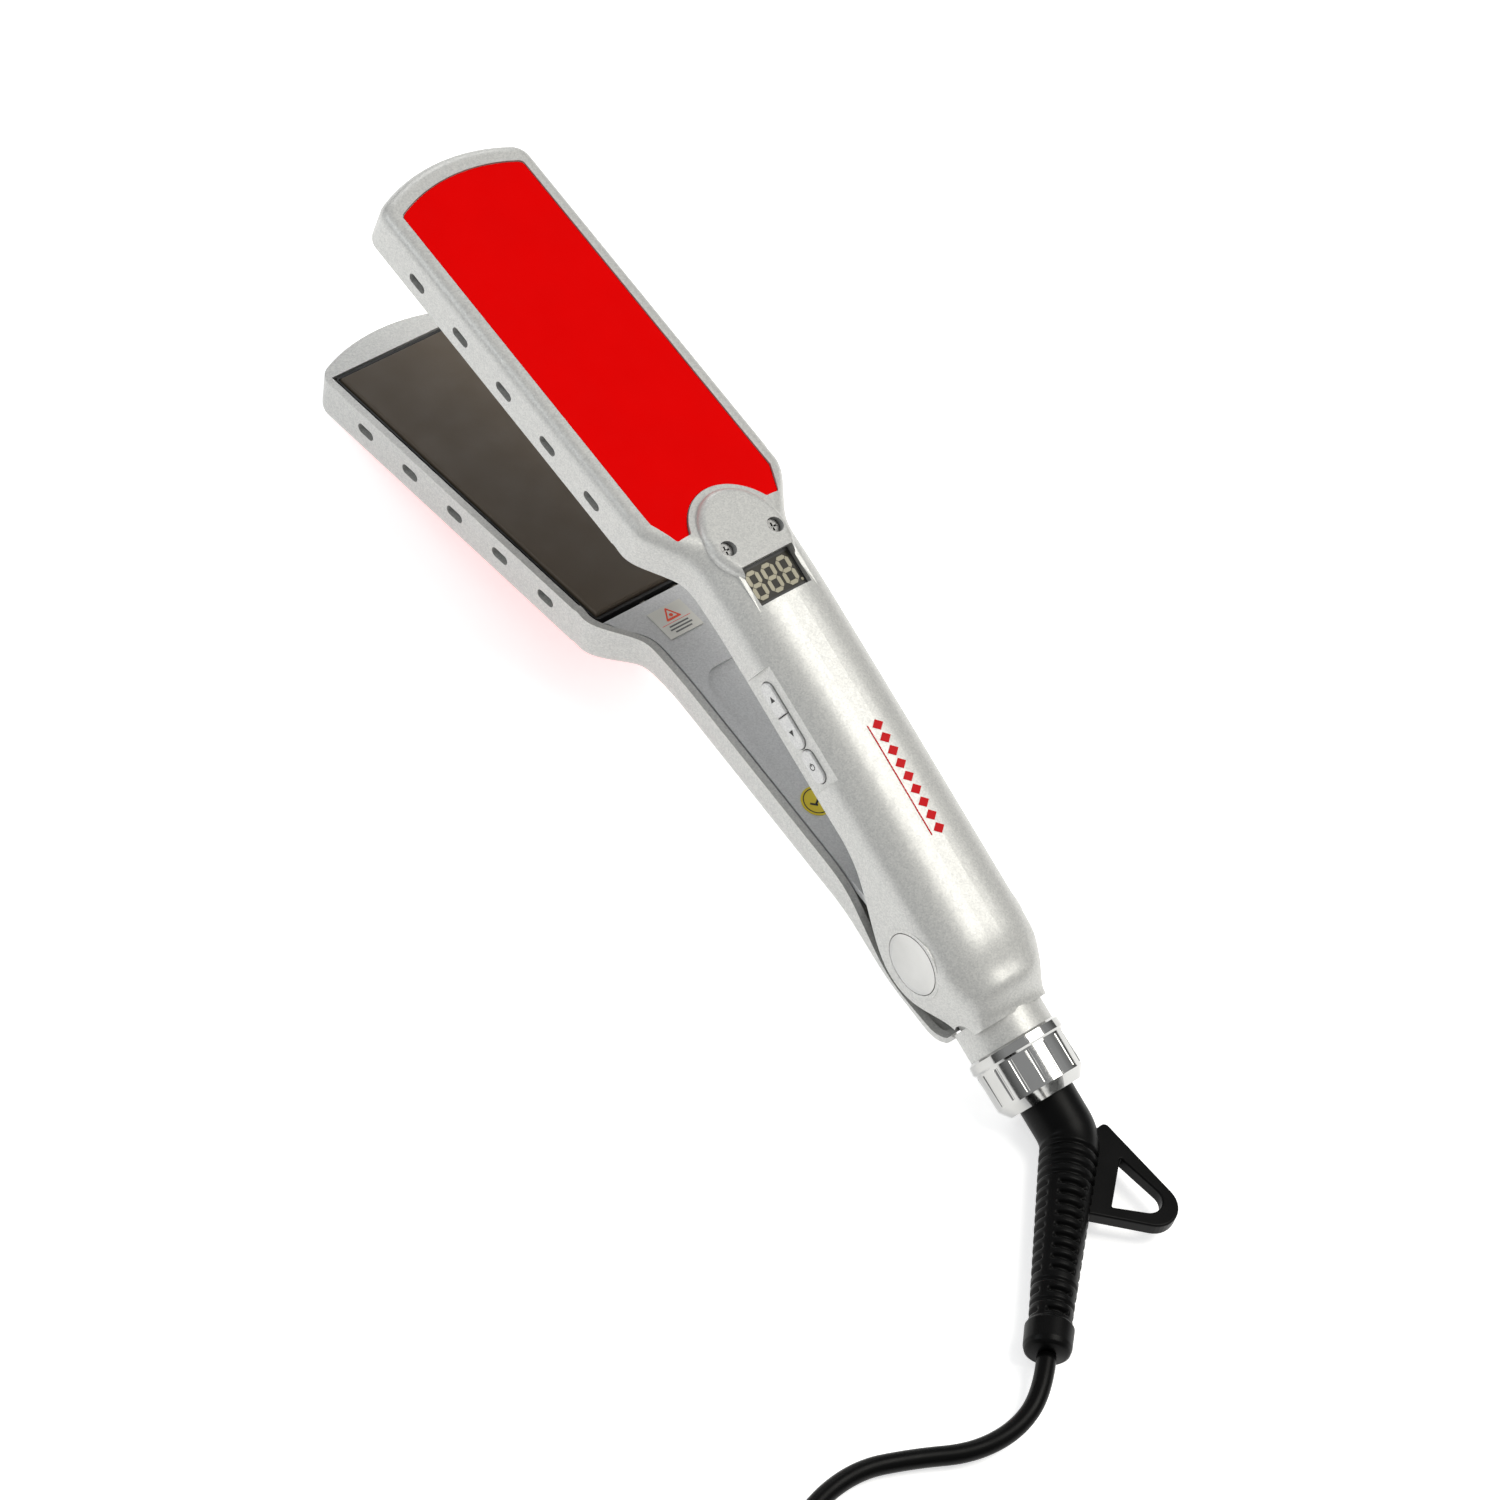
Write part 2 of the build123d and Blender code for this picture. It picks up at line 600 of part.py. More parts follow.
with BuildPart() as display_holder:
    with BuildSketch(HANDLE.offset(BOARD_TOP)):
        with Locations((WINDOW_S, 0)):
            Rectangle(15, 20)
            Rectangle(9, 14, mode=Mode.SUBTRACT)
    extrude(amount=MODULE_LOW - BOARD_TOP)
place(display_holder, "display_holder", UPPER)

with BuildPart() as control_board:
    with BuildSketch(HANDLE.offset(BOARD_TOP)):
        with Locations((BOARD_MIDDLE, 0)):
            Rectangle(*BOARD)
    extrude(amount=-BOARD_THICK)
place(control_board, "control_board", UPPER)

with BuildPart() as board_parts:
    with BuildSketch(HANDLE.offset(BOARD_TOP - BOARD_THICK)):       # chips under the board
        with Locations((22, 0)):
            Rectangle(9, 9)
        with Locations((38, 4)):
            Rectangle(12, 6)
    extrude(amount=-1.8)
    with BuildSketch(HANDLE.offset(BOARD_TOP)):                     # capacitor and relay above it
        with Locations((56, 4)):
            Circle(3.6)
        with Locations((44, 2)):
            Rectangle(6, 4)
    extrude(amount=4)
place(board_parts, "board_parts", UPPER)

for name, s in BUTTONS.items():
    with BuildPart() as button:
        with BuildSketch(facet_plane(s, -BUTTON_RISE)):
            button_outline(name, 0)
        extrude(amount=-BUTTON_DEEP)
        chamfer(button.faces().sort_by(Axis.Y)[0].edges(), 0.3)
    place(button, f"button_{name}", UPPER)

with BuildPart() as button_switches:
    for s in BUTTONS.values():
        with BuildSketch(facet_plane(s, 3.1)):
            Rectangle(4, 3)
        extrude(amount=-1.6)
place(button_switches, "button_switches", UPPER)

with BuildPart() as shell_screws:
    with BuildSketch(HANDLE.offset(SCREW_SEAT)):
        screw_circles(SCREW_HEAD_R)
    extrude(amount=SCREW_HEAD)
    with BuildSketch(HANDLE.offset(SCREW_SEAT + SCREW_HEAD)):       # cross recess
        with Locations((SCREW_S, SCREW_Y), (SCREW_S, -SCREW_Y)):
            Rectangle(2.4, 0.5)
            Rectangle(0.5, 2.4)
    extrude(amount=-0.7, mode=Mode.SUBTRACT)
    with BuildSketch(HANDLE.offset(SCREW_SEAT)):
        screw_circles(SCREW_R)
    extrude(amount=-SCREW_LENGTH)
place(shell_screws, "shell_screws", UPPER)

# ---------------------------------------------------------------- neck, collar, cord boot
AXLE = handle_plane(0, 0, COLLAR_Z)


def round_piece(profile):
    """Revolve an (s, radius) outline about the cord axis."""
    with BuildSketch(Plane(origin=AXLE.origin, x_dir=HANDLE.x_dir, z_dir=(0, -1, 0))) as outline:
        with BuildLine():
            Polyline(*profile, close=True)
        make_face()
    revolve(outline.sketch, axis=Axis(AXLE.origin, HANDLE.x_dir))


with BuildPart() as neck:
    round_piece([(122.6, 8.6), (122.6, SPIGOT_R), (131.4, SPIGOT_R), (131.4, NECK_R), (COLLAR_S, NECK_R),
                 (COLLAR_S, 9.6), (144.5, 9.6), (144.5, 8.6)])
place(neck, "neck", UPPER)

with BuildPart() as collar:
    round_piece([(COLLAR_S, 9.65), (COLLAR_S, 12.6), (COLLAR_S + 0.6, 13.4), (COLLAR_S + 3.0, 13.6),
                 (COLLAR_S + 3.6, 13.0), (154.6, 12.8), (COLLAR_END, 10.6), (COLLAR_END, STEM_R + 0.3),
                 (154.2, STEM_R + 0.3), (154.2, 9.65)])
    with BuildSketch(handle_plane(144.4, 0, COLLAR_Z)):
        with PolarLocations(FLUTE_CENTRES_R, FLUTE_COUNT):
            Circle(FLUTE_R)
    extrude(amount=9.4, mode=Mode.SUBTRACT)
place(collar, "collar", UPPER)

with BuildPart() as swivel_bush:
    round_piece([(147.2, STEM_R + 0.06), (147.2, 9.6), (154.1, 9.6), (154.1, STEM_R + 0.06)])
place(swivel_bush, "swivel_bush", UPPER)

stem_end = HANDLE.from_local_coords(Vector(STEM_END, 0, COLLAR_Z))
roll = radians(ELBOW_ROLL)
side_way = Vector(0, -cos(roll), 0) + HANDLE.z_dir * sin(roll)
sleeve_dir = HANDLE.x_dir * cos(radians(ELBOW)) + side_way * sin(radians(ELBOW))
arm_pitch = radians(OPEN_ANGLE - REST_TILT)
floor_up = Vector(-sin(arm_pitch), 0, cos(arm_pitch))       # straight up from the floor, in the arm's frame
loop_side = floor_up.cross(sleeve_dir).normalized()
loop_plane = Plane(origin=stem_end, x_dir=sleeve_dir, z_dir=sleeve_dir.cross(loop_side))


def rounded_outline(points, tip_radius):
    """Polygon with a large rounding at its tip and small ones at the other corners."""
    with BuildSketch() as outline:
        with BuildLine():
            Polyline(*points, close=True)
        make_face()
        fillet(outline.vertices().sort_by(Axis.Y)[:-1], LOOP_EDGE_R)
        fillet(outline.vertices().sort_by(Axis.Y)[-1], tip_radius)
    return outline.sketch


SLEEVE_PROFILE = [(-1.0, 0), (-1.0, 7.9), (8.0, 7.8), (55.0, 5.8), (58.0, 5.8), (59.5, 6.5), (65.0, 6.5),
                  (SLEEVE, 5.2), (SLEEVE, 0)]
LOOP_OUTSIDE = [(23.0, 2.0), (2.0, 2.0), (-5.6, 8.3), (21.3, 39.4)]        # along the sleeve, out from it
LOOP_HOLE = [(2.7, 12.8), (18.2, 34.3), (20.2, 11.9)]
LOOP_TIP_R = 6.3
HOLE_TIP_R = 4.6
LOOP_EDGE_R = 0.9
LOOP_THICK = 4.2
with BuildPart() as cord_boot:
    round_piece([(146.0, 0), (146.0, STEM_R), (STEM_END, STEM_R), (STEM_END, 0)])
    round_piece([(144.9, 0), (144.9, 9.3), (146.9, 9.3), (146.9, 0)])
    with Locations(Pos(*stem_end)):
        Sphere(STEM_R - 0.02)
    with BuildSketch(loop_plane):
        with BuildLine():
            Polyline(*SLEEVE_PROFILE, close=True)
        make_face()
    revolve(axis=Axis(stem_end, sleeve_dir))
    with BuildSketch(loop_plane):
        add(rounded_outline(LOOP_OUTSIDE, LOOP_TIP_R))
        add(rounded_outline(LOOP_HOLE, HOLE_TIP_R), mode=Mode.SUBTRACT)
    extrude(amount=LOOP_THICK / 2, both=True)
place(cord_boot, "cord_boot", UPPER)

# ---------------------------------------------------------------- wiring inside the handle
MAINS_LEAD_R = 1.1
HEATER_LEAD_R = 0.9


def wire(points, radius):
    """Round wire along straight runs with rounded corners."""
    with BuildLine() as path:
        FilletPolyline(*points, radius=3.0)
    with BuildSketch(Plane(origin=points[0], z_dir=path.line % 0)) as end:
        Circle(radius)
    sweep(end.sketch, path=path.line)


with BuildPart() as mains_leads:
    for y in (-2.6, 2.6):
        stops = ((64.1, 7.8), (112, 7.2), (126, 1.0), (144.6, COLLAR_Z))
        wire([HANDLE.from_local_coords(Vector(s, y, z)) for s, z in stops], MAINS_LEAD_R)
place(mains_leads, "mains_leads", UPPER)

with BuildPart() as heater_leads:
    for y in (-3.5, 3.5):
        wire([Vector(-27.9, y, 4.0), Vector(-17, y, 4.4), HANDLE.from_local_coords(Vector(-8, y, 7.4)),
              HANDLE.from_local_coords(Vector(-3.1, y, 7.8))], HEATER_LEAD_R)
place(heater_leads, "heater_leads", UPPER)

with BuildPart() as lower_leads:
    for y in (-5.5, 5.5):
        wire([Vector(-27.9, y, -4.0), Vector(-17, y, -4.4), HANDLE.from_local_coords(Vector(-6, y, -8)),
              HANDLE.from_local_coords(Vector(97, y, -8))], HEATER_LEAD_R)
place(lower_leads, "lower_leads", LOWER)

# ---------------------------------------------------------------- mains cord, drawn in the rest pose on the floor
CORD_ROUTE = [(203.6, -49.4, 8.06), (210.8, -56.6, 7.3), (215.1, -68.1, 5.2), (213.5, -81.6, 3.3),
              (206.3, -95.1, 2.62), (200.3, -111.1, 2.62), (203.3, -131.1, 2.62), (216.3, -149.1, 2.62),
              (236.0, -162.5, 2.62), (254.0, -168.0, 2.62), (270.0, -168.6, 2.62)]
TAIL_ROUTE = [(322.4, -126.0, 2.62), (322.6, -114.5, 2.8), (325.2, -102.5, 6.85), (329.1, -91.5, 6.85)]
COIL_CENTRE = (275.0, -120.0)
COIL_MEAN = 31.2            # five turns side by side, in two layers
COIL_WIDTH = 26.4
COIL_BASE = 0.7
COIL_TOP = 11.2
COIL_EDGE = 2.4
TIE_THICK = 0.6
TIE_LENGTH = 9.0
TIE_GAP = 0.1
PLUG_HEADING = 70.5
PLUG_HALF = 17.6
PLUG_THICK = 13.7
PLUG_RELIEF = 20.0
RELIEF_R = (3.6, 5.6)
PLUG_BODY = 36.0
PLUG_PIN_R = 2.0
PLUG_PIN = 19.0
PLUG_PIN_SPACING = 18.6


def cord_tube(route):
    """Round cord along straight runs joined by tangent arcs as large as the runs allow."""
    points = [Vector(*point) for point in route]
    radii = []
    for before, corner, after in zip(points, points[1:], points[2:]):
        turn = radians((corner - before).get_angle(after - corner))
        radii.append(0.45 * min((corner - before).length, (after - corner).length) / tan(turn / 2))
    with BuildLine() as path:
        FilletPolyline(*points, radius=radii)
    with BuildSketch(Plane(origin=points[0], z_dir=path.line % 0)) as end:
        Circle(CORD_R)
    sweep(end.sketch, path=path.line)


with BuildPart() as power_cord:
    cord_tube(CORD_ROUTE)
place(power_cord, "power_cord", Pos(0, 0, 0))

with BuildPart() as cord_tail:
    cord_tube(TAIL_ROUTE)
place(cord_tail, "cord_tail", Pos(0, 0, 0))

with BuildPart() as cord_coil:
    coil_middle = (*COIL_CENTRE, (COIL_BASE + COIL_TOP) / 2)
    with BuildSketch(Plane(origin=coil_middle, x_dir=(1, 0, 0), z_dir=(0, -1, 0))):
        with Locations((COIL_MEAN, 0)):
            RectangleRounded(COIL_WIDTH, COIL_TOP - COIL_BASE, COIL_EDGE)
    revolve(axis=Axis((*COIL_CENTRE, 0), (0, 0, 1)))
place(cord_coil, "cord_coil", Pos(0, 0, 0))

with BuildPart() as cord_tie:
    tie_middle = (COIL_CENTRE[0] - TIE_LENGTH / 2, COIL_CENTRE[1] + COIL_MEAN, (COIL_BASE + COIL_TOP) / 2)
    tie_width = COIL_WIDTH + 2 * TIE_GAP + 1.4       # room for the curve of the coil along the tie
    tie_height = COIL_TOP - COIL_BASE + 2 * TIE_GAP
    with BuildSketch(Plane(origin=tie_middle, x_dir=(0, 1, 0), z_dir=(1, 0, 0))):
        RectangleRounded(tie_width + 2 * TIE_THICK, tie_height + 2 * TIE_THICK, 2.8)
        RectangleRounded(tie_width, tie_height, 2.2, mode=Mode.SUBTRACT)
    extrude(amount=TIE_LENGTH)
place(cord_tie, "cord_tie", Pos(0, 0, 0))

plug_dir = Vector(cos(radians(PLUG_HEADING)), sin(radians(PLUG_HEADING)), 0)
plug_start = Vector(*TAIL_ROUTE[-1])
plug_across = Plane(origin=plug_start, x_dir=plug_dir.cross(Vector(0, 0, 1)), z_dir=plug_dir)
with BuildPart() as plug_relief:
    with BuildSketch(plug_across):
        Circle(RELIEF_R[0])
    with BuildSketch(plug_across.offset(PLUG_RELIEF)):
        Circle(RELIEF_R[1])
    loft()
place(plug_relief, "plug_relief", Pos(0, 0, 0))

with BuildPart() as plug_body:
    with BuildSketch(plug_across.offset(PLUG_RELIEF)):
        RectangleRounded(20, 12.4, 5)
    with BuildSketch(plug_across.offset(PLUG_RELIEF + 14)):
        RectangleRounded(2 * PLUG_HALF - 4, PLUG_THICK, 6)
    with BuildSketch(plug_across.offset(PLUG_RELIEF + PLUG_BODY)):
        RectangleRounded(2 * PLUG_HALF, PLUG_THICK, 6.5)
    loft(ruled=True)
place(plug_body, "plug_body", Pos(0, 0, 0))

with BuildPart() as plug_pins:
    with BuildSketch(plug_across.offset(PLUG_RELIEF + PLUG_BODY)):
        with Locations((PLUG_PIN_SPACING / 2, 0), (-PLUG_PIN_SPACING / 2, 0)):
            Circle(PLUG_PIN_R)
    extrude(amount=PLUG_PIN)
    chamfer(plug_pins.faces().filter_by(GeomType.PLANE).group_by(Axis(plug_start, plug_dir))[-1].edges(), 0.6)
place(plug_pins, "plug_pins", Pos(0, 0, 0))
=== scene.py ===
"""Flat iron, open on its lower arm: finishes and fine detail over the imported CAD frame."""
import json
from math import cos, pi, radians, sin, tau

import bmesh
import bpy
from mathutils import Matrix, Vector
from mathutils.bvhtree import BVHTree


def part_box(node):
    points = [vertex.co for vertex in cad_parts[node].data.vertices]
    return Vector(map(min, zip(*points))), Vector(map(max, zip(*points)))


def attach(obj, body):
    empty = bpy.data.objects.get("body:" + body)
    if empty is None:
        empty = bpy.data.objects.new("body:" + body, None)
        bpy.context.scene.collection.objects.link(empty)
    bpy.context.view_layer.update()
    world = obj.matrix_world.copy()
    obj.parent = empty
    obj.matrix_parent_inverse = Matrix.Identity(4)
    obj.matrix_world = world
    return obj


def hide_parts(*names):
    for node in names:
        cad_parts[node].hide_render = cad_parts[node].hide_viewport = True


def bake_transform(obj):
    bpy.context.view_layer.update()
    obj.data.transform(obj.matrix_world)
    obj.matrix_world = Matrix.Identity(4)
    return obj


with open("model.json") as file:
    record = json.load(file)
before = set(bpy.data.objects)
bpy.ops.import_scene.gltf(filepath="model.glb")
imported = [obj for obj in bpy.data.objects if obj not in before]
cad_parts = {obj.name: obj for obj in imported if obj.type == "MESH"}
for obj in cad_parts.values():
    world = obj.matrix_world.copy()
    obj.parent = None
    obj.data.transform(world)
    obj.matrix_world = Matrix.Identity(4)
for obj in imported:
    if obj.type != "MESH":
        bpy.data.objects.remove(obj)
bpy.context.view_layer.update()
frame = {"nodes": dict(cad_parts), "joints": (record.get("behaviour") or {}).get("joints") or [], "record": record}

MM = 0.001

# ---------------------------------------------------------------- the iron's own frames
REST_TILT = radians(9.93)        # pitch of the lower head above the floor
OPEN_ANGLE = radians(14.5)
BEND = radians(14.5)             # handle against head
PIVOT_S = 110 * MM               # hinge, along the handle from its knee
COLLAR_Z = -2.6 * MM             # cord axis below the handle's middle plane
STEM_END = 170 * MM
ELBOW = radians(49.9)
ELBOW_ROLL = radians(18)
SLEEVE = 67.5 * MM

PITCH = {
    "upper_handle": OPEN_ANGLE - REST_TILT + BEND,
    "lower_handle": BEND - REST_TILT,
    "upper_head": OPEN_ANGLE - REST_TILT,
    "lower_head": -REST_TILT,
}
PIVOT = Vector(next(joint for joint in frame["joints"] if joint["name"] == "arm_hinge")["pos_m"])


def local_frame(part):
    """Matrix from (rearward, across, up), measured from the arm's knee, to the row frame."""
    arm = part.split("_")[0]
    knee = PIVOT - Matrix.Rotation(PITCH[arm + "_handle"], 4, "Y") @ Vector((PIVOT_S, 0, 0))
    return Matrix.Translation(knee) @ Matrix.Rotation(PITCH[part], 4, "Y")


HANDLE = local_frame("upper_handle")
LOWER_HANDLE = local_frame("lower_handle")


# ---------------------------------------------------------------- materials
class Nodes:
    """A material's node tree with short calls for the few nodes that the finishes use."""

    def __init__(self, name, roughness, metallic=0.0, coat=0.0, specular=0.5):
        self.material = bpy.data.materials.new(name)
        self.material.use_nodes = True
        self.tree = self.material.node_tree
        self.shader = self.tree.nodes["Principled BSDF"]
        self.shader.inputs["Roughness"].default_value = roughness
        self.shader.inputs["Metallic"].default_value = metallic
        self.shader.inputs["Coat Weight"].default_value = coat
        self.shader.inputs["Coat Roughness"].default_value = 0.12
        self.shader.inputs["Specular IOR Level"].default_value = specular
        self.place = self.tree.nodes.new("ShaderNodeTexCoord").outputs["Object"]

    def noise(self, scale, detail=3.0, stretch=None):
        vector = self.place
        if stretch:
            mapping = self.tree.nodes.new("ShaderNodeMapping")
            mapping.inputs["Scale"].default_value = stretch
            self.tree.links.new(vector, mapping.inputs["Vector"])
            vector = mapping.outputs["Vector"]
        node = self.tree.nodes.new("ShaderNodeTexNoise")
        node.inputs["Scale"].default_value = scale
        node.inputs["Detail"].default_value = detail
        self.tree.links.new(vector, node.inputs["Vector"])
        return node.outputs["Fac"]

    def flakes(self, scale):
        node = self.tree.nodes.new("ShaderNodeTexVoronoi")
        node.inputs["Scale"].default_value = scale
        self.tree.links.new(self.place, node.inputs["Vector"])
        return node.outputs["Color"]

    def ramp(self, factor, *stops):
        node = self.tree.nodes.new("ShaderNodeValToRGB")
        elements = node.color_ramp.elements
        while len(elements) < len(stops):
            elements.new(0.5)
        for element, (position, colour) in zip(elements, stops):
            element.position = position
            element.color = (*colour, 1.0)
        self.tree.links.new(factor, node.inputs["Fac"])
        return node.outputs["Color"]

    def spread(self, factor, low, high):
        node = self.tree.nodes.new("ShaderNodeMapRange")
        node.inputs["From Min"].default_value = 0.3
        node.inputs["From Max"].default_value = 0.7
        node.inputs["To Min"].default_value = low
        node.inputs["To Max"].default_value = high
        self.tree.links.new(factor, node.inputs["Value"])
        return node.outputs["Result"]

    def colour(self, output):
        self.tree.links.new(output, self.shader.inputs["Base Color"])

    def roughness(self, output):
        self.tree.links.new(output, self.shader.inputs["Roughness"])

    def bump(self, height, strength, depth):
        node = self.tree.nodes.new("ShaderNodeBump")
        node.inputs["Strength"].default_value = strength
        node.inputs["Distance"].default_value = depth
        self.tree.links.new(height, node.inputs["Height"])
        self.tree.links.new(node.outputs["Normal"], self.shader.inputs["Normal"])


def plain_finish(name, dark, light, roughness, grain, metallic=0.0, coat=0.0, bump=0.2, depth=0.05,
                 specular=0.5):
    """A moulded or coated surface: cloudy colour, uneven gloss and a fine grain."""
    nodes = Nodes(name, roughness, metallic, coat, specular)
    nodes.colour(nodes.ramp(nodes.noise(60.0), (0.35, dark), (0.65, light)))
    nodes.roughness(nodes.spread(nodes.noise(140.0), roughness * 0.88, roughness * 1.12))
    nodes.bump(nodes.noise(grain), bump, depth * MM)
    return nodes.material


def silver_paint(name, dark, light, roughness):
    """Satin metallic paint: fine bright flakes under a thin clear coat."""
    nodes = Nodes(name, roughness, metallic=0.32, coat=0.04)
    nodes.colour(nodes.ramp(nodes.flakes(2600.0), (0.1, dark), (0.9, light)))
    nodes.roughness(nodes.spread(nodes.noise(1500.0), roughness - 0.05, roughness + 0.05))
    nodes.bump(nodes.noise(2200.0), 0.08, 0.02 * MM)
    return nodes.material


def metal(name, dark, light, roughness, stretch, grain=900.0, bump=0.06):
    """Bare metal with a faint drawn grain along one direction."""
    nodes = Nodes(name, roughness, metallic=1.0)
    streaks = nodes.noise(grain, stretch=stretch)
    nodes.colour(nodes.ramp(nodes.noise(45.0), (0.35, dark), (0.65, light)))
    nodes.roughness(nodes.spread(streaks, roughness * 0.8, roughness * 1.3))
    nodes.bump(streaks, bump, 0.02 * MM)
    return nodes.material


def woven(name, dark, light, pitch):
    """Braided sleeving on the leads."""
    nodes = Nodes(name, 0.8)
    node = nodes.tree.nodes.new("ShaderNodeTexWave")
    node.inputs["Scale"].default_value = pitch
    node.inputs["Distortion"].default_value = 3.0
    nodes.tree.links.new(nodes.place, node.inputs["Vector"])
    nodes.colour(nodes.ramp(node.outputs["Fac"], (0.2, dark), (0.8, light)))
    nodes.bump(node.outputs["Fac"], 0.5, 0.1 * MM)
    return nodes.material


FINISHES = {
    "silver_shell": silver_paint("silver_shell", (0.50, 0.502, 0.49), (0.64, 0.638, 0.615), 0.42),
    "silver_cover": silver_paint("silver_cover", (0.56, 0.565, 0.57), (0.68, 0.685, 0.69), 0.46),
    "button_silver": silver_paint("button_silver", (0.54, 0.54, 0.54), (0.68, 0.68, 0.67), 0.34),
    "red_inlay": plain_finish("red_inlay", (0.73, 0.0, 0.0), (0.75, 0.0, 0.0), 0.35, 500.0, bump=0.01,
                              depth=0.01, specular=0.03),
    "titanium_plate": plain_finish("titanium_plate", (0.104, 0.082, 0.060), (0.109, 0.086, 0.063), 0.5,
                                   1800.0, bump=0.05, depth=0.01, specular=0.25),
    "carrier_black": plain_finish("carrier_black", (0.006, 0.006, 0.006), (0.012, 0.012, 0.012), 0.55,
                                  1500.0),
    "heater_ceramic": plain_finish("heater_ceramic", (0.60, 0.56, 0.48), (0.72, 0.68, 0.60), 0.75,
                                   1200.0),
    "insulator_film": plain_finish("insulator_film", (0.48, 0.26, 0.05), (0.58, 0.34, 0.08), 0.25, 300.0,
                                   bump=0.3),
    "silicone": plain_finish("silicone", (0.62, 0.62, 0.60), (0.72, 0.72, 0.70), 0.6, 900.0),
    "sensor_glass": plain_finish("sensor_glass", (0.50, 0.10, 0.03), (0.62, 0.15, 0.05), 0.12, 400.0),
    "chrome": metal("chrome", (0.46, 0.46, 0.45), (0.54, 0.54, 0.53), 0.10, (1, 1, 1), bump=0.01),
    # painted shade: the steel base colour is set far darker than bare steel, so that screws in this finish read as
    # the shaded holes they sit in
    "steel": metal("steel", (0.09, 0.09, 0.09), (0.15, 0.15, 0.15), 0.32, (1, 1, 12)),
    "nickel": metal("nickel", (0.62, 0.60, 0.54), (0.74, 0.72, 0.66), 0.16, (1, 1, 10)),
    "bush_plastic": plain_finish("bush_plastic", (0.70, 0.68, 0.62), (0.78, 0.76, 0.70), 0.5, 900.0),
    "label_paper": plain_finish("label_paper", (0.66, 0.65, 0.60), (0.73, 0.72, 0.67), 0.6, 2500.0,
                                bump=0.1),
    "sticker_paper": plain_finish("sticker_paper", (0.72, 0.56, 0.03), (0.80, 0.63, 0.05), 0.45, 2000.0,
                                  bump=0.1),
    "window_lens": plain_finish("window_lens", (0.018, 0.016, 0.010), (0.024, 0.021, 0.014), 0.30, 900.0,
                                bump=0.02, specular=0.15),
    "display": plain_finish("display", (0.018, 0.016, 0.010), (0.024, 0.021, 0.014), 0.2, 600.0,
                            bump=0.02),
    "board": plain_finish("board", (0.008, 0.085, 0.030), (0.014, 0.120, 0.045), 0.35, 800.0),
    "components": plain_finish("components", (0.008, 0.008, 0.009), (0.016, 0.016, 0.017), 0.45, 1500.0),
    "wire_sleeve": woven("wire_sleeve", (0.36, 0.33, 0.27), (0.55, 0.51, 0.44), 900.0),
    "black_rubber": plain_finish("black_rubber", (0.0012, 0.0012, 0.0012), (0.002, 0.002, 0.0021), 0.38,
                                 2200.0, bump=0.12, depth=0.02, specular=0.10),
    "plug_black": plain_finish("plug_black", (0.004, 0.004, 0.0045), (0.008, 0.008, 0.0085), 0.42, 1600.0,
                               bump=0.3),
    "tie_black": plain_finish("tie_black", (0.007, 0.007, 0.007), (0.012, 0.012, 0.012), 0.35, 1400.0),
}
PRINTS = {
    "print_red": plain_finish("print_red", (0.55, 0.004, 0.008), (0.60, 0.006, 0.010), 0.5, 1500.0,
                              bump=0.05, specular=0.1),
    "print_orange": plain_finish("print_orange", (0.78, 0.075, 0.03), (0.85, 0.10, 0.045), 0.55, 1500.0,
                                 bump=0.05),
    "print_grey": plain_finish("print_grey", (0.10, 0.10, 0.10), (0.16, 0.16, 0.16), 0.6, 1500.0,
                               bump=0.05),
    "print_black": plain_finish("print_black", (0.010, 0.010, 0.010), (0.018, 0.018, 0.018), 0.5, 1500.0,
                                bump=0.05),
    "lcd_segment": plain_finish("lcd_segment", (0.34, 0.31, 0.21), (0.40, 0.365, 0.25), 0.4, 900.0,
                                bump=0.03),
}
SLOT_OF = {entry["node"]: entry["material_slot"] for entry in frame["record"]["subparts"]}
for node, holder in frame["nodes"].items():
    slots = holder.data.materials
    if not slots:
        slots.append(None)
    for index in range(len(slots)):
        slots[index] = FINISHES[SLOT_OF[node]]


# ---------------------------------------------------------------- mesh helpers
def finished(name, mesh, material, body, smooth=False):
    """Object from a mesh in the row frame, with its finish, riding on a body."""
    for polygon in mesh.polygons:
        polygon.use_smooth = smooth
    mesh.materials.clear()
    mesh.materials.append(material)
    piece = bpy.data.objects.new(name, mesh)
    bpy.context.scene.collection.objects.link(piece)
    if body:
        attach(piece, body)
    return piece


def rounded(points, radii, steps=6):
    """Closed outline with each corner turned by an arc of its own radius."""
    outline = []
    for index, (point, radius) in enumerate(zip(points, radii)):
        corner = Vector(point)
        back = (Vector(points[index - 1]) - corner).normalized()
        ahead = (Vector(points[(index + 1) % len(points)]) - corner).normalized()
        half = back.angle(ahead) / 2
        reach = radius / max(0.05, abs(sin(half) / cos(half)))
        centre = corner + (back + ahead).normalized() * (radius / sin(half))
        first, last = corner + back * reach - centre, corner + ahead * reach - centre
        turn = first.angle_signed(last)
        for step in range(steps + 1):
            outline.append(centre + Matrix.Rotation(-turn * step / steps, 2) @ first)
    return outline


def circle(x, y, radius, count=40):
    """Outline of a circle."""
    turns = [tau * k / count for k in range(count)]
    return [Vector((x + radius * cos(turn), y + radius * sin(turn))) for turn in turns]


def bar(x, y, length, width, angle=0.0):
    """Outline of a rectangle about (x, y)."""
    turn = Matrix.Rotation(angle, 2)
    corners = ((-length, -width), (length, -width), (length, width), (-length, width))
    return [Vector((x, y)) + turn @ Vector((a / 2, b / 2)) for a, b in corners]


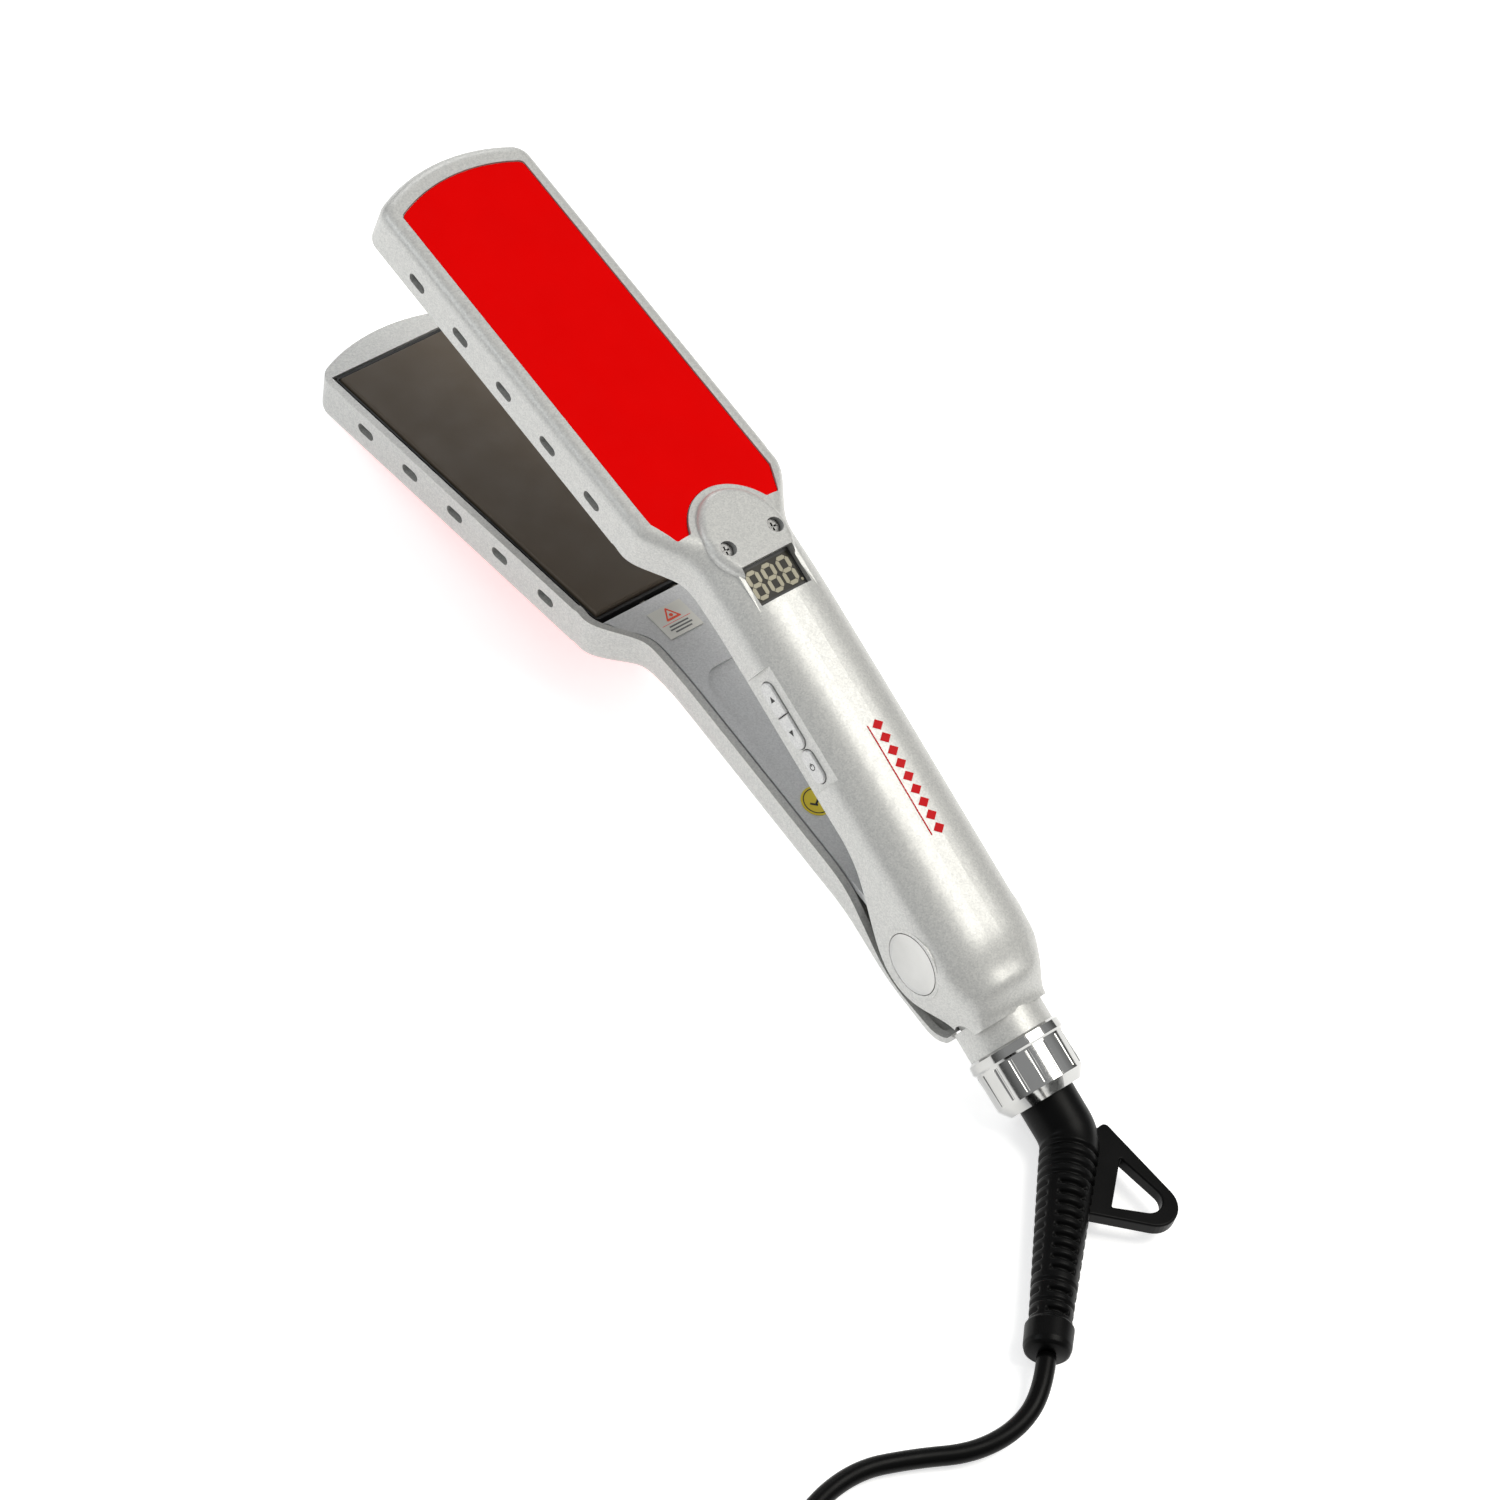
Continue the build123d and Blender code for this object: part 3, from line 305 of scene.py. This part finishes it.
def flat_mesh(name, loops, placement, low, high, bevel=0.0):
    """Plate with the given outlines (inner ones are holes) between two heights of a frame."""
    curve = bpy.data.curves.new(name, "CURVE")
    curve.dimensions = "2D"
    curve.fill_mode = "BOTH"
    curve.extrude = (high - low) / 2 - bevel
    curve.bevel_depth = bevel
    curve.bevel_resolution = 3
    for loop in loops:
        spline = curve.splines.new("POLY")
        spline.points.add(len(loop) - 1)
        for knot, point in zip(spline.points, loop):
            knot.co = (point.x, point.y, 0, 1)
        spline.use_cyclic_u = True
    holder = bpy.data.objects.new(name, curve)
    bpy.context.scene.collection.objects.link(holder)
    mesh = bpy.data.meshes.new_from_object(holder.evaluated_get(bpy.context.evaluated_depsgraph_get()))
    bpy.data.objects.remove(holder)
    mesh.transform(placement @ Matrix.Translation((0, 0, (low + high) / 2)))
    return mesh


def along(points):
    """Directions and steady side vectors along a line of points."""
    tangents = []
    for index in range(len(points)):
        ahead, back = points[min(index + 1, len(points) - 1)], points[max(index - 1, 0)]
        tangents.append((ahead - back).normalized())
    side = tangents[0].orthogonal().normalized()
    frames = []
    for tangent in tangents:
        side = (side - tangent * side.dot(tangent)).normalized()
        frames.append((tangent, side, tangent.cross(side)))
    return frames


def tube_mesh(name, points, radius, count=16):
    """Closed tube along points; radius is a size, or a function of (index, angle)."""
    size = radius if callable(radius) else lambda index, angle: radius
    rings = bmesh.new()
    rows = []
    for index, (point, (tangent, side, up)) in enumerate(zip(points, along(points))):
        row = []
        for k in range(count):
            angle = tau * k / count
            offset = (side * cos(angle) + up * sin(angle)) * size(index, angle)
            row.append(rings.verts.new(point + offset))
        rows.append(row)
    for row, following in zip(rows, rows[1:]):
        for k in range(count):
            rings.faces.new((row[k], row[(k + 1) % count], following[(k + 1) % count], following[k]))
    rings.faces.new(list(reversed(rows[0])))
    rings.faces.new(rows[-1])
    mesh = bpy.data.meshes.new(name)
    rings.to_mesh(mesh)
    rings.free()
    return mesh


# ---------------------------------------------------------------- display
WINDOW_S = 4.7 * MM
LENS_TOP = 14.0 * MM
WINDOW_HALF = (5.55 * MM, 8.55 * MM)
BORDER = 0.85 * MM
DIGIT_HEIGHT = 8.4 * MM
DIGIT_WIDTH = 4.3 * MM
DIGIT_PITCH = 5.15 * MM
SEGMENT = 1.15 * MM
SEGMENT_GAP = 0.12 * MM
DIGIT_SHIFT = 0.15 * MM          # the digits sit a little left of the middle, to leave room for the dot
DOT_ACROSS = 1.42 * DIGIT_PITCH + 0.35 * MM
DOT_R = 0.4 * MM
PRINT_RISE = 0.03 * MM           # thickness of a print


def on_display(right, up):
    """Display point: right is across the handle, up is towards the heads."""
    return Vector((WINDOW_S - up, right))


def segment(x, y, length, upright):
    """Six-sided bar of a digit, lying or upright."""
    half, tip = length / 2 - SEGMENT_GAP, SEGMENT / 2
    upper = ((-half, 0), (-half + tip, tip), (half - tip, tip))
    shape = upper + tuple((-a, -b) for a, b in upper)
    return [on_display(x + (b if upright else a), y + (a if upright else b)) for a, b in shape]


def eight(centre):
    """The seven segments of one digit, all shown."""
    reach, rise = DIGIT_WIDTH - SEGMENT, (DIGIT_HEIGHT - SEGMENT) / 2
    bars = [segment(centre, level * rise, reach, False) for level in (-1, 0, 1)]
    for side in (-1, 1):
        bars += [segment(centre + side * reach / 2, level * rise / 2, rise, True) for level in (-1, 1)]
    return bars


digits = [bars for place in (-1, 0, 1) for bars in eight(place * DIGIT_PITCH - DIGIT_SHIFT)]
dot = on_display(DOT_ACROSS, -DIGIT_HEIGHT / 2 + 0.3 * MM)
digits.append(circle(dot.x, dot.y, DOT_R, 16))
mesh = flat_mesh("display_digits", digits, HANDLE, LENS_TOP, LENS_TOP + PRINT_RISE)
finished("display_digits", mesh, PRINTS["lcd_segment"], "upper_arm")
length, width = WINDOW_HALF
outer = bar(WINDOW_S, 0, 2 * length, 2 * width)
inner = bar(WINDOW_S, 0, 2 * (length - BORDER), 2 * (width - BORDER * 0.6))
mesh = flat_mesh("display_border", [outer, inner], HANDLE, LENS_TOP, LENS_TOP + PRINT_RISE)
finished("display_border", mesh, PRINTS["print_black"], "upper_arm")

# ---------------------------------------------------------------- icons on the buttons
FACET_FOOT = (-15.75 * MM, 1.8 * MM)
FACET_TOP = (-14.0 * MM, 13.0 * MM)
BUTTON_RISE = 0.7 * MM
BUTTONS = {"up": 32.4 * MM, "down": 42.5 * MM, "power": 52.9 * MM}


def facet_frame(s):
    """Frame on the facet: x rearward along the handle, y up the facet, z out of it."""
    foot, top = Vector(FACET_FOOT), Vector(FACET_TOP)
    rise = (top - foot).normalized()
    axes = Matrix(((1, 0, 0), (0, rise.x, -rise.y), (0, rise.y, rise.x))).to_4x4()
    middle = (foot + top) / 2
    return HANDLE @ Matrix.Translation((s, middle.x, middle.y)) @ axes


ICONS = {
    "up": [[Vector((-1.0, 0)) * MM, Vector((0.7, -0.85)) * MM, Vector((0.7, 0.85)) * MM]],
    "down": [[Vector((1.0, 0)) * MM, Vector((-0.7, -0.85)) * MM, Vector((-0.7, 0.85)) * MM]],
    "power": [circle(0, 0, 0.95 * MM), circle(0, 0, 0.68 * MM), bar(-0.75 * MM, 0, 1.0 * MM, 0.26 * MM)],
}
for name, s in BUTTONS.items():
    mesh = flat_mesh(f"icon_{name}", ICONS[name], facet_frame(s), BUTTON_RISE, BUTTON_RISE + PRINT_RISE)
    finished(f"icon_{name}", mesh, PRINTS["print_black"], f"button_{name}")

# ---------------------------------------------------------------- generic prints on the label and the sticker
LABEL_PITCH = radians(3.62) - REST_TILT
label_low, label_high = (Vector(corner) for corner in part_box("warning_label"))
label_frame = Matrix.Translation((label_low + label_high) / 2) @ Matrix.Rotation(LABEL_PITCH, 4, "Y")
LABEL_TOP = 0.06 * MM


def sign(x, y, size):
    """Triangle outline with rounded corners, its point towards the heads."""
    def corners(reach):
        base = x + reach * 0.75
        return [Vector((x - reach, y)), Vector((base, y + reach)), Vector((base, y - reach))]
    return [rounded(corners(size), [0.3 * MM] * 3), rounded(corners(size * 0.62), [0.12 * MM] * 3)]


mark = sign(-2.2 * MM, 0, 2.6 * MM)
mark.append(circle(-1.8 * MM, 0, 0.6 * MM))
mark.append(bar(0.55 * MM, 0, 0.16 * MM, 9.6 * MM))          # thin line across the label
mesh = flat_mesh("label_sign", mark, label_frame, LABEL_TOP, LABEL_TOP + PRINT_RISE)
finished("label_sign", mesh, PRINTS["print_orange"], "lower_arm")
LABEL_LINES = ((1.6, 6.4), (2.7, 7.4), (3.8, 5.6))           # (place, length) in mm
lines = [bar(x * MM, 0, 0.5 * MM, width * MM) for x, width in LABEL_LINES]
mesh = flat_mesh("label_lines", lines, label_frame, LABEL_TOP, LABEL_TOP + PRINT_RISE)
finished("label_lines", mesh, PRINTS["print_grey"], "lower_arm")

STICKER = (57.5 * MM, -6.3 * MM)
STICKER_TOP = -1.33 * MM
TICK_WIDTH = 0.6 * MM
ticks = [circle(*STICKER, 3.9 * MM), circle(*STICKER, 3.6 * MM)]
ticks.append(bar(STICKER[0] + 0.5 * MM, STICKER[1] - 1.4 * MM, 2.2 * MM, TICK_WIDTH, radians(50)))
ticks.append(bar(STICKER[0] - 0.35 * MM, STICKER[1] + 0.75 * MM, 4.0 * MM, TICK_WIDTH, radians(125)))
mesh = flat_mesh("sticker_tick", ticks, LOWER_HANDLE, STICKER_TOP, STICKER_TOP + PRINT_RISE)
finished("sticker_tick", mesh, PRINTS["print_black"], "lower_arm")

# ---------------------------------------------------------------- plain red ornament on the handle's crown
shell = frame["nodes"]["upper_shell"].data
corners = [vertex.co for vertex in shell.vertices]
shell_tree = BVHTree.FromPolygons(corners, [tuple(polygon.vertices) for polygon in shell.polygons])


def pressed(mesh, lift):
    """Lays a flat print onto the handle's crown, keeping its thickness."""
    above = 40 * MM
    inward = HANDLE.to_3x3() @ Vector((0, 0, -1))
    to_handle = HANDLE.inverted()
    for vertex in mesh.vertices:
        local = to_handle @ vertex.co
        start = HANDLE @ Vector((local.x, local.y, above))
        hit = shell_tree.ray_cast(start, inward)[0]
        vertex.co = hit - inward * (lift + (PRINT_RISE if local.z > 0 else 0))


ORNAMENT_START = 52              # mm along the handle
ORNAMENT_Y = 2.0                 # mm across it
LOZENGE_PITCH = 3.9
LOZENGE = (1.6, 1.9)             # half length and half width
LINE_GAP = 3.0
ornament = []
for index in range(9):
    s = ORNAMENT_START + index * LOZENGE_PITCH
    half_length, half_width = LOZENGE
    lozenge = [(s - half_length, ORNAMENT_Y), (s, ORNAMENT_Y - half_width),
               (s + half_length, ORNAMENT_Y), (s, ORNAMENT_Y + half_width)]
    ornament.append([Vector(point) * MM for point in lozenge])
for step in range(33):           # a line in short pieces, so that it follows the crown
    s = ORNAMENT_START - 0.5 + step
    ornament.append(bar(s * MM, (ORNAMENT_Y - LINE_GAP) * MM, 0.95 * MM, 0.4 * MM))
mesh = flat_mesh("handle_ornament", ornament, HANDLE, -PRINT_RISE, PRINT_RISE)
pressed(mesh, 0.05 * MM)
finished("handle_ornament", mesh, PRINTS["print_red"], "upper_arm")

# ---------------------------------------------------------------- cord boot: elbow, sleeve, hanging loop
turn = HANDLE.to_3x3()
rearward, upward = turn @ Vector((1, 0, 0)), turn @ Vector((0, 0, 1))
sideward = Vector((0, -cos(ELBOW_ROLL), 0)) + upward * sin(ELBOW_ROLL)
sleeve_dir = rearward * cos(ELBOW) + sideward * sin(ELBOW)
stem_end = HANDLE @ Vector((STEM_END, 0, COLLAR_Z))
STEM_START = -20.5 * MM          # from the elbow, along the stem
BOOT_BEND = 4.4 * MM
BOOT_STEP = 0.3 * MM
RADII = [(-20.5, 8.0), (-2.0, 7.95), (8.0, 7.8), (55.0, 5.8), (58.8, 5.8), (59.6, 6.5), (65.4, 6.4),
         (66.8, 6.0), (67.45, 5.2)]      # (distance from the elbow, radius) in mm
RING_GROOVES = [6.0 + 3.1 * k for k in range(4)]
SIDE_GROOVES = [18.4 + 3.25 * k for k in range(9)] + [51.0, 56.9]
END_GROOVES = [48.0, 54.0]


def boot_point(t):
    """Centre line of the boot at distance t from the elbow, with a tight smooth bend."""
    if t <= -BOOT_BEND:
        return stem_end + rearward * t
    if t >= BOOT_BEND:
        return stem_end + sleeve_dir * t
    f = (t + BOOT_BEND) / (2 * BOOT_BEND)
    first, last = stem_end - rearward * BOOT_BEND, stem_end + sleeve_dir * BOOT_BEND
    return first * (1 - f) ** 2 + stem_end * 2 * f * (1 - f) + last * f ** 2


def groove(t, middle, width):
    """1 in the middle of a groove, 0 outside it."""
    gap = abs(t - middle) / (width / 2)
    return 0.5 + 0.5 * cos(pi * gap) if gap < 1 else 0.0


def plain_radius(t):
    for (a, low), (b, high) in zip(RADII, RADII[1:]):
        if t <= b:
            f = (t - a) / (b - a)
            return low + (high - low) * f
    return RADII[-1][1]


def boot_radius(t, angle):
    """Radius in mm: rings near the elbow, then two columns of half rings each side, and a grooved end."""
    cut = 0.85 * max(groove(t, middle, 1.9) for middle in RING_GROOVES)
    cut = max(cut, 0.6 * max(groove(t, middle, 1.4) for middle in END_GROOVES))
    face = abs((angle / (pi / 2)) % 1 - 0.5) * 2            # 0 mid-quarter, 1 between the quarters
    side = min(1.0, max(0.0, (0.74 - face) / 0.1))
    cut = max(cut, 1.25 * side * max(groove(t, middle, 2.1) for middle in SIDE_GROOVES))
    return plain_radius(t) - cut


steps = int((SLEEVE - STEM_START) / BOOT_STEP)
run = SLEEVE - 0.05 * MM - STEM_START
stations = [STEM_START + run * index / steps for index in range(steps + 1)]
centres = [boot_point(t) for t in stations]
mesh = tube_mesh("boot_sleeve", centres,
                 lambda index, angle: boot_radius(stations[index] / MM, angle) * MM, 112)
boot = finished("boot_sleeve", mesh, FINISHES["black_rubber"], "cord_boot", smooth=True)
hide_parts("cord_boot")

loop_out = Vector((0, 0, 1)).cross(sleeve_dir).normalized()
loop_axes = Matrix((sleeve_dir, loop_out, sleeve_dir.cross(loop_out))).transposed().to_4x4()
loop_frame = Matrix.Translation(stem_end) @ loop_axes
LOOP_OUTSIDE = ((23.0, 2.0), (2.0, 2.0), (-5.6, 8.3), (21.3, 39.4))      # mm along the sleeve, out from it
LOOP_HOLE = ((2.7, 12.8), (18.2, 34.3), (20.2, 11.9))
outside = rounded([Vector(point) * MM for point in LOOP_OUTSIDE], [0.9 * MM] * 3 + [6.3 * MM], 14)
hole = rounded([Vector(point) * MM for point in LOOP_HOLE], [0.9 * MM, 4.6 * MM, 0.9 * MM], 14)
mesh = flat_mesh("boot_loop", [outside, hole], loop_frame, -2.1 * MM, 2.1 * MM, 0.55 * MM)
loop = finished("boot_loop", mesh, FINISHES["black_rubber"], "cord_boot")

# ---------------------------------------------------------------- mains cord: floor run, coil, tail
CORD_R = 2.6
CORD_ROUTE = [(203.6, -49.4, 8.06), (210.8, -56.6, 7.3), (215.1, -68.1, 5.2), (213.5, -81.6, 3.3),
              (206.3, -95.1, 2.62), (200.3, -111.1, 2.62), (203.3, -131.1, 2.62), (216.3, -149.1, 2.62),
              (236.0, -162.5, 2.62), (254.0, -168.0, 2.62)]
TAIL_ROUTE = [(322.4, -126.0, 2.62), (322.6, -114.5, 2.8), (325.2, -102.5, 6.85), (329.1, -91.5, 6.85)]
COIL_CENTRE = (275.0, -120.0)
COIL_COLUMNS = [41.6 - 5.2 * k for k in range(5)]
COIL_LOW = 3.3
COIL_HIGH = 8.5
COIL_START = -80.0               # degrees round the coil where the cord has joined its outer turn
COIL_TURNS = 9
KNOTS = 16                       # spline points in each turn
CROSS_OUT = (0.70, 0.79)         # parts of a turn where the upper layer steps outward,
CLIMB = (0.80, 0.89)             # the lower layer's inner turn climbs,
CROSS_IN = (0.90, 0.99)          # and the lower layer steps inward


def eased(value, span):
    t = min(1.0, max(0.0, (value - span[0]) / (span[1] - span[0])))
    return t * t * (3 - 2 * t)


def coil_place(turns):
    """(radius, height) of the cord after so many turns of the coil."""
    number, part = int(turns), turns % 1
    last = len(COIL_COLUMNS) - 1
    if number < last:
        step = eased(part, CROSS_IN)
        return COIL_COLUMNS[number] + (COIL_COLUMNS[number + 1] - COIL_COLUMNS[number]) * step, COIL_LOW
    if number == last:
        return COIL_COLUMNS[last], COIL_LOW + (COIL_HIGH - COIL_LOW) * eased(part, CLIMB)
    column = max(0, 2 * last + 1 - number)
    outward = COIL_COLUMNS[max(0, column - 1)]
    return COIL_COLUMNS[column] + (outward - COIL_COLUMNS[column]) * eased(part, CROSS_OUT), COIL_HIGH


def round_coil(angle, radius, height):
    """Point at an angle and a distance from the coil's centre, mm."""
    return COIL_CENTRE[0] + radius * cos(angle), COIL_CENTRE[1] + radius * sin(angle), height


def coil_points():
    """Spline points of the coil, set a little wide because the spline runs inside them."""
    wide = 1 / cos(pi / KNOTS)
    points = []
    for index in range(COIL_TURNS * KNOTS + 1):
        radius, height = coil_place(index / KNOTS)
        angle = radians(COIL_START) + tau * index / KNOTS
        points.append(round_coil(angle, radius * wide, height))
    return points


LEAVE = [(-59.0, 44.6, 8.5), (-40.0, 47.3, 7.6), (-24.0, 47.6, 4.2)]       # degrees, radius, height
leave_points = [round_coil(radians(angle), radius, height) for angle, radius, height in LEAVE]
route = [Vector(point) * MM for point in CORD_ROUTE + coil_points() + leave_points + TAIL_ROUTE]


def smooth_line(points):
    """Points of the NURBS spline that has these control points."""
    curve = bpy.data.curves.new("route", "CURVE")
    curve.dimensions = "3D"
    curve.resolution_u = 12
    spline = curve.splines.new("NURBS")
    spline.points.add(len(points) - 1)
    for knot, point in zip(spline.points, points):
        knot.co = (*point, 1)
    spline.order_u = 3
    spline.use_endpoint_u = True
    holder = bpy.data.objects.new("route", curve)
    bpy.context.scene.collection.objects.link(holder)
    mesh = bpy.data.meshes.new_from_object(holder.evaluated_get(bpy.context.evaluated_depsgraph_get()))
    line = [vertex.co.copy() for vertex in mesh.vertices]
    bpy.data.objects.remove(holder)
    bpy.data.meshes.remove(mesh)
    return line


line = smooth_line(route)
mesh = tube_mesh("mains_cord", line, CORD_R * MM, 14)
cord = finished("mains_cord", mesh, FINISHES["black_rubber"], None, smooth=True)
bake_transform(cord)
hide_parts("power_cord", "cord_coil", "cord_tail")

# ribbed relief on the plug, in place of the plain cone
PLUG_HEADING = radians(70.5)
plug_dir = Vector((cos(PLUG_HEADING), sin(PLUG_HEADING), 0))
RELIEF = 20.0
RELIEF_STEP = 0.1
relief_line = [route[-1] + plug_dir * (RELIEF_STEP * k * MM) for k in range(round(RELIEF / RELIEF_STEP) + 1)]


def relief_radius(index, angle):
    """Tapering radius with half rings cut into it."""
    t = RELIEF_STEP * index
    side = min(1.0, max(0.0, (0.8 - abs((angle / pi) % 1 - 0.5) * 2) / 0.12))
    cut = side * max(groove(t, 3.0 + 2.8 * k, 1.6) for k in range(6))
    return (3.6 + 2.0 * t / RELIEF - 0.9 * cut) * MM


mesh = tube_mesh("plug_ribs", relief_line, relief_radius, 48)
relief = finished("plug_ribs", mesh, FINISHES["black_rubber"], "upper_arm", smooth=True)
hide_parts("plug_relief")

# ---------------------------------------------------------------- floor, light and camera
FLOOR = 3.0
mesh = bpy.data.meshes.new("floor")
mesh.from_pydata([(-FLOOR, -FLOOR, 0), (FLOOR, -FLOOR, 0), (FLOOR, FLOOR, 0), (-FLOOR, FLOOR, 0)], [],
                 [(0, 1, 2, 3)])
floor_finish = plain_finish("floor", (0.90, 0.90, 0.90), (0.92, 0.92, 0.92), 0.9, 300.0, bump=0.02,
                            specular=0.1)
floor_shader = floor_finish.node_tree.nodes["Principled BSDF"].inputs
floor_shader["Emission Color"].default_value = (1, 1, 1, 1)
floor_shader["Emission Strength"].default_value = 0.60
mesh.materials.append(floor_finish)
floor = bpy.data.objects.new("floor", mesh)
floor.location.z = -0.3 * MM     # just under the lowest piece
bpy.context.scene.collection.objects.link(floor)

IRON = Vector((0, 0, 0.04))


def soft_light(name, place, size, power, colour):
    """Square area light aimed at the iron."""
    lamp = bpy.data.lights.new(name, "AREA")
    lamp.size = size
    lamp.energy = power
    lamp.color = colour
    holder = bpy.data.objects.new(name, lamp)
    holder.location = place
    holder.rotation_mode = "QUATERNION"
    holder.rotation_quaternion = (IRON - Vector(place)).to_track_quat("-Z", "Y")
    bpy.context.scene.collection.objects.link(holder)


soft_light("key", (0.45, 0.55, 1.5), 0.9, 16, (1.0, 0.98, 0.92))
soft_light("fill", (-0.9, -1.2, 0.8), 0.8, 5, (0.93, 0.97, 1.0))
soft_light("rear", (-1.2, 0.7, 0.7), 0.6, 3, (1.0, 1.0, 1.0))

world = bpy.data.worlds.new("studio")
world.use_nodes = True
tree = world.node_tree
direction = tree.nodes.new("ShaderNodeTexCoord").outputs["Generated"]
height = tree.nodes.new("ShaderNodeSeparateXYZ")
tree.links.new(direction, height.inputs["Vector"])
sky = tree.nodes.new("ShaderNodeValToRGB")
stops = sky.color_ramp.elements
# darker round the horizon, for the chrome
stops[0].position, stops[0].color = 0.05, (0.22, 0.225, 0.22, 1)
stops[1].position, stops[1].color = 0.55, (0.93, 0.94, 0.95, 1)
tree.links.new(height.outputs["Z"], sky.inputs["Fac"])
tree.links.new(sky.outputs["Color"], tree.nodes["Background"].inputs["Color"])
tree.nodes["Background"].inputs["Strength"].default_value = 0.44
bpy.context.scene.world = world
bpy.context.scene.view_settings.view_transform = "Standard"

AZIMUTH = radians(34.25)
ELEVATION = radians(51.76)
ROLL = radians(20.66)
DISTANCE = 1.6
AIM = Vector((0.0221, -0.005, 0.0219))
camera = bpy.data.objects.new("camera", bpy.data.cameras.new("camera"))
camera.data.lens = 143.8
camera.data.sensor_width = 36
back = Vector((sin(AZIMUTH) * cos(ELEVATION), -cos(AZIMUTH) * cos(ELEVATION), sin(ELEVATION)))
upright = (-back).to_track_quat("-Z", "Y").to_matrix().to_4x4()
placed = Matrix.Translation(AIM + back * DISTANCE)
camera.matrix_world = placed @ upright @ Matrix.Rotation(ROLL, 4, "Z")
bpy.context.scene.collection.objects.link(camera)
bpy.context.scene.camera = camera
